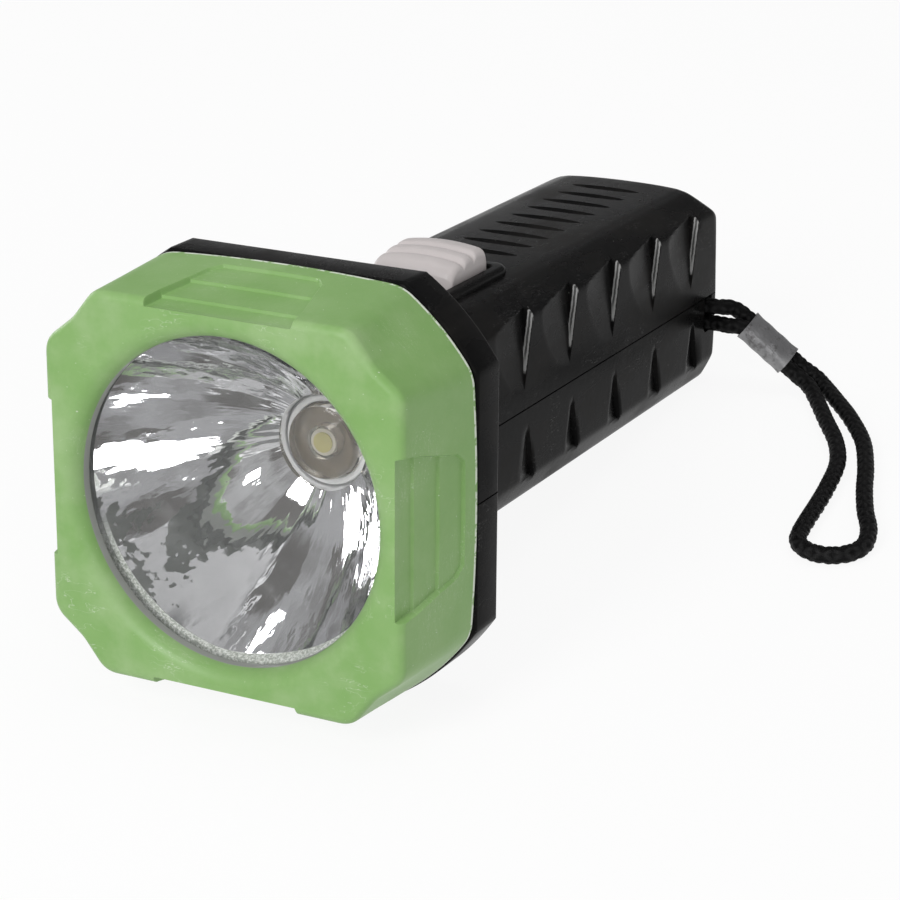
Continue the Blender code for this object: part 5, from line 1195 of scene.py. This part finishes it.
def smooth_route(points, spacing):
    """Points about spacing apart on a smooth curve through the given ones."""
    line = [points[0] * 2.0 - points[1], *points, points[-1] * 2.0 - points[-2]]
    route = []
    for index in range(1, len(line) - 2):
        before, start, end, after = line[index - 1:index + 3]
        steps = max(1, round((end - start).length / spacing))
        for step in range(steps):
            t = step / steps
            route.append(((start * 2.0) + (end - before) * t
                          + (before * 2.0 - start * 5.0 + end * 4.0 - after) * t ** 2
                          + (start * 3.0 - before - end * 3.0 + after) * t ** 3) * 0.5)
    return np.array([tuple(point) for point in [*route, line[-2]]])


crimp_start, crimp_end = on_table(*CRIMP_START), on_table(*CRIMP_END)
crimp_axis = (crimp_end - crimp_start).normalized()
level_side = Vector((-crimp_axis.y, crimp_axis.x, 0.0)).normalized()
crimp_side = level_side * math.cos(CRIMP_ROLL) + crimp_axis.cross(level_side) * math.sin(CRIMP_ROLL)
crimp_up = crimp_axis.cross(crimp_side).normalized()
lower_z = SLOT_TOP_Z - STRAP_SPREAD


def strand_start(z, side):
    """From the anchor to just past the crimp."""
    offset = crimp_side * side * CRIMP_SPREAD / 2.0
    mouth = Vector((HANDLE_HALF + STRAP_RADIUS, SLOT_CENTRE + HALF_GAP, z))
    middle = Vector((mouth.x, mouth.y, (SLOT_TOP_Z + lower_z) / 2.0 + TWIST_RISE * 2.0))
    twist = (crimp_side + Vector((0.0, 0.0, 1.0))).normalized() * side * TWIST_SPREAD / 2.0
    return [Vector((ANCHOR_X + GAP * 2.0, ANCHOR_Y, z)),
            Vector((HANDLE_HALF - STRAP_RADIUS * 3.0, SLOT_CENTRE, z)), mouth,
            middle.lerp(crimp_start, 0.5) + twist, crimp_start + offset,
            crimp_start.lerp(crimp_end, 0.5) + offset, crimp_end + offset,
            crimp_end + crimp_axis * STRAP_RADIUS * 2.0 + offset]


strap_points = [*strand_start(lower_z, -1.0), on_table(*NEAR_DESCENT)]
strap_points += [on_table(x, y, STRAP_RADIUS + FLOOR_GAP) for x, y in NEAR_STRAND + BIGHT + FAR_STRAND]
strap_points += [on_table(*FAR_DESCENT), *strand_start(SLOT_TOP_Z, 1.0)[::-1]]
route = smooth_route(strap_points, STRAP_STEP)
travel = travelled(route)
tangents = np.gradient(route, axis=0)
tangents /= np.linalg.norm(tangents, axis=1)[:, None]
first_side = np.zeros_like(route)
side = np.cross(tangents[0], (0.0, 0.0, 1.0))
for index, tangent in enumerate(tangents):
    side = side - tangent * (side @ tangent)
    side /= np.linalg.norm(side)
    first_side[index] = side
second_side = np.cross(tangents, first_side)

# Two sets of strands run round the cord either way, each over the other in turn
around = np.arange(BRAID_ROUND)[None, :] / BRAID_ROUND
strand = around * BRAID_STRANDS
spin = travel[:, None] / BRAID_PITCH * BRAID_STRANDS / 2.0
over = 0.5 + 0.5 * np.sin(2.0 * math.pi * (spin + np.floor(strand) / 2.0))
raised = np.maximum(np.sin(math.pi * ((strand + spin) % 1.0)) * over,
                    np.sin(math.pi * ((strand - spin) % 1.0)) * (1.0 - over))
radius = STRAP_RADIUS + BRAID_PROUD - BRAID_RELIEF * (1.0 - raised)
circled = [part(2.0 * math.pi * around)[:, :, None] for part in (np.cos, np.sin)]
skin = (first_side[:, None, :] * circled[0] + second_side[:, None, :] * circled[1]) * radius[:, :, None]
strap = add_piece("strap_braid", grid_mesh(route[:, None, :] + skin, attributes={"raised": raised}), braid,
                  ["strap_cord"], angle=80.0)

# Crimp: a pressed sleeve with a seam along it
crimp_length = (crimp_end - crimp_start).length


def crimp_ring(place, grow, seam=0.0):
    """One oval of the sleeve at this place along it."""
    ring = []
    reach = STRAP_RADIUS + CRIMP_SLACK + grow
    for step in range(CRIMP_ROUND):
        angle = 2.0 * math.pi * (step + 0.5) / CRIMP_ROUND
        off = CRIMP_SPREAD / 2.0 * math.tanh(CRIMP_SQUARE * math.cos(angle)) + reach * math.cos(angle)
        up = reach * math.sin(angle) * (1.0 - CRIMP_FLAT * math.cos(2.0 * angle))
        if math.sin(angle) < 0.0:
            up += seam * math.exp(-((off - SEAM_PLACE) / SEAM_WIDTH) ** 2)
        ring.append(tuple(crimp_start + crimp_axis * place + crimp_side * off + crimp_up * up))
    return ring


rows = [crimp_ring(CRIMP_INSIDE, 0.0), crimp_ring(0.0, CRIMP_LIP)]
for place in np.linspace(0.0, crimp_length, CRIMP_RINGS):
    near_end = min(place, crimp_length - place)
    flare = CRIMP_WALL * (1.0 - CRIMP_FLARE + CRIMP_FLARE * math.exp(-near_end / CRIMP_FLARE_REACH))
    press = CRIMP_PRESS * math.sin(place / crimp_length * math.pi * CRIMP_PRESSES) ** 2
    rows.append(crimp_ring(place, flare - press, SEAM_DEPTH if near_end > SEAM_START else 0.0))
rows += [crimp_ring(crimp_length, CRIMP_LIP), crimp_ring(crimp_length - CRIMP_INSIDE, 0.0)]
crimp = add_piece("crimp_sleeve", grid_mesh(rows, closed_along=True), sleeve_metal,
                  ["strap_crimp"], angle=45.0)

# Table, room and lights
FLOOR_REACH = 3.0
FLOOR_DEPTH = 0.0001
WHITE_SHARE = 0.91
WORLD_LEVEL = 0.36
HEAD = Vector((0.0, -0.08, 0.04))
ROOM_REACH = 1.7
ROOM_STEPS = 57
RISE_STEPS = 16
RISES = (0.5, 89.0)
TABLE_FRONT = (-1.6, 1.6, -1.8, -0.12, 0.0)
# A darker patch on the table sheet just in front of the torch, seen only in reflections.
TABLE_DARK = ((0.075, -0.165, 0.0), 0.08)

# Dark patches of the room, each with its turn from the front, its rise and its reach, then the lamps,
# each with its turn, rise, size, power and distance
ROOM_DARKS = ((27.0, 8.0, 0.46), (-30.0, 10.0, 0.32), (0.0, 66.0, 0.75), (66.0, 12.0, 0.36),
              (12.0, 42.0, 0.20))
LAMPS = (("key_softbox", -9.0, 38.0, (0.36, 0.60), 8.6, 1.2),
         ("side_softbox", 47.0, 26.0, (0.17, 0.17), 1.6, 1.1),
         ("back_softbox", 252.0, 12.0, (0.50, 0.40), 2.4, 1.1),
         ("top_softbox", 150.0, 75.0, (0.70, 0.60), 2.1, 1.0))


def table_finish():
    """Pale table: white to the camera, but keeps the torch's shadow."""
    finish = Finish("pale_table", (0.86, 0.86, 0.86), 0.7)
    glow = finish.node("ShaderNodeEmission", None, Color=(1.0, 1.0, 1.0, 1.0), Strength=1.0)
    mixed = finish.node("ShaderNodeMixShader", None, n0=finish.showing() * WHITE_SHARE,
                        n1=finish.shader.outputs[0], n2=glow.outputs[0])
    finish.fill(finish.tree.nodes["Material Output"].inputs["Surface"], mixed.outputs[0])
    return finish.material


def room_finish(name, base, dark, dark_places):
    """A pale sheet of the room, the wall or the table in front, with darker soft patches, each a place and
    its reach in metres.
    """
    finish = Finish(name, base, 0.9, Specular_IOR_Level=0.0)
    where = finish.node("ShaderNodeTexCoord").outputs["Object"]
    shade = finish.step(finish.noise(1.6, 4.0, 0.6, where), 0.60, 0.34) * 0.6
    for place, reach in dark_places:
        off = finish.node("ShaderNodeVectorMath", {"operation": "DISTANCE"}, n0=where, n1=tuple(place))
        shade = finish.maths("MAXIMUM", shade, finish.step(off.outputs["Value"], reach, reach * 0.6))
    finish.set(Base_Color=finish.mix(shade, base, dark))
    return finish.material


def panel(name, mesh, material, only_reflected=True):
    """A sheet of the stage, seen by the camera or only in reflections."""
    mesh.materials.append(material)
    made = link(name, mesh)
    if only_reflected:
        made.visible_camera = made.visible_diffuse = made.visible_shadow = made.visible_transmission = False


def rectangle(left, right, front, back, z):
    """A level sheet at this height."""
    mesh = bpy.data.meshes.new("sheet")
    corners = [(left, front, z), (right, front, z), (right, back, z), (left, back, z)]
    mesh.from_pydata(corners, [], [(0, 1, 2, 3)])
    return mesh


def seen_from_head(turn_degrees, rise_degrees, distance):
    """Place at this turn from the front and this height above level, and the way back to the head."""
    turned, rise = math.radians(turn_degrees), math.radians(rise_degrees)
    out = Vector((math.sin(turned) * math.cos(rise), -math.cos(turned) * math.cos(rise), math.sin(rise)))
    return HEAD + out * distance, -out


floor = rectangle(-FLOOR_REACH, FLOOR_REACH, -FLOOR_REACH, FLOOR_REACH, -FLOOR_DEPTH)
panel("table", floor, table_finish(), only_reflected=False)

# What the bowl and the gloss see: a curved wall all round, and the table in front of the torch
wall = [[tuple(seen_from_head(turn, rise, ROOM_REACH)[0]) for turn in np.linspace(-180.0, 180.0, ROOM_STEPS)]
        for rise in np.linspace(*RISES, RISE_STEPS)]
dark_places = [(seen_from_head(turn, rise, ROOM_REACH)[0], reach) for turn, rise, reach in ROOM_DARKS]
panel("room_wall", grid_mesh(wall, closed_across=False),
      room_finish("room_paint", (0.72, 0.72, 0.73), (0.20, 0.185, 0.175), dark_places))
panel("table_front", rectangle(*TABLE_FRONT),
      room_finish("table_front", (0.50, 0.50, 0.50), (0.16, 0.16, 0.16), [TABLE_DARK]))

for name, turn, rise, size, power, distance in LAMPS:
    light = bpy.data.lights.new(name, "AREA")
    light.shape = "RECTANGLE"
    light.size, light.size_y = size
    light.energy = power
    holder = link(name, light)
    holder.location, aim = seen_from_head(turn, rise, distance)
    holder.rotation_euler = aim.to_track_quat("-Z", "Y").to_euler()

world = bpy.data.worlds.new("studio")
world.use_nodes = True
bpy.context.scene.world = world
sky = Nodes(world.node_tree)
background = sky.tree.nodes["Background"]
background.inputs["Color"].default_value = (1.0, 1.0, 1.0, 1.0)
level = sky.node("ShaderNodeMapRange", None, Value=sky.showing(), To_Min=WORLD_LEVEL, To_Max=1.0)
sky.fill(background.inputs["Strength"], level.outputs[0])

# Camera
yaw, pitch, roll = (math.radians(value) for value in CAMERA_TURNS)
forward = Vector((-math.sin(yaw) * math.cos(pitch), math.cos(yaw) * math.cos(pitch), -math.sin(pitch)))
level_right = Vector((math.cos(yaw), math.sin(yaw), 0.0))
level_up = level_right.cross(forward)
camera_right = level_right * math.cos(roll) + level_up * math.sin(roll)
camera_up = level_up * math.cos(roll) - level_right * math.sin(roll)
turned_camera = Matrix((camera_right, camera_up, -forward)).transposed().to_4x4()
camera = link("camera", bpy.data.cameras.new("camera"))
camera.data.lens = CAMERA_LENS
camera.data.sensor_width = CAMERA_SENSOR
camera.data.clip_start = CAMERA_NEAR
camera.matrix_world = LYING @ Matrix.Translation(Vector(CAMERA_EYE)) @ turned_camera
bpy.context.scene.camera = camera
bpy.context.scene.view_settings.view_transform = "Standard"
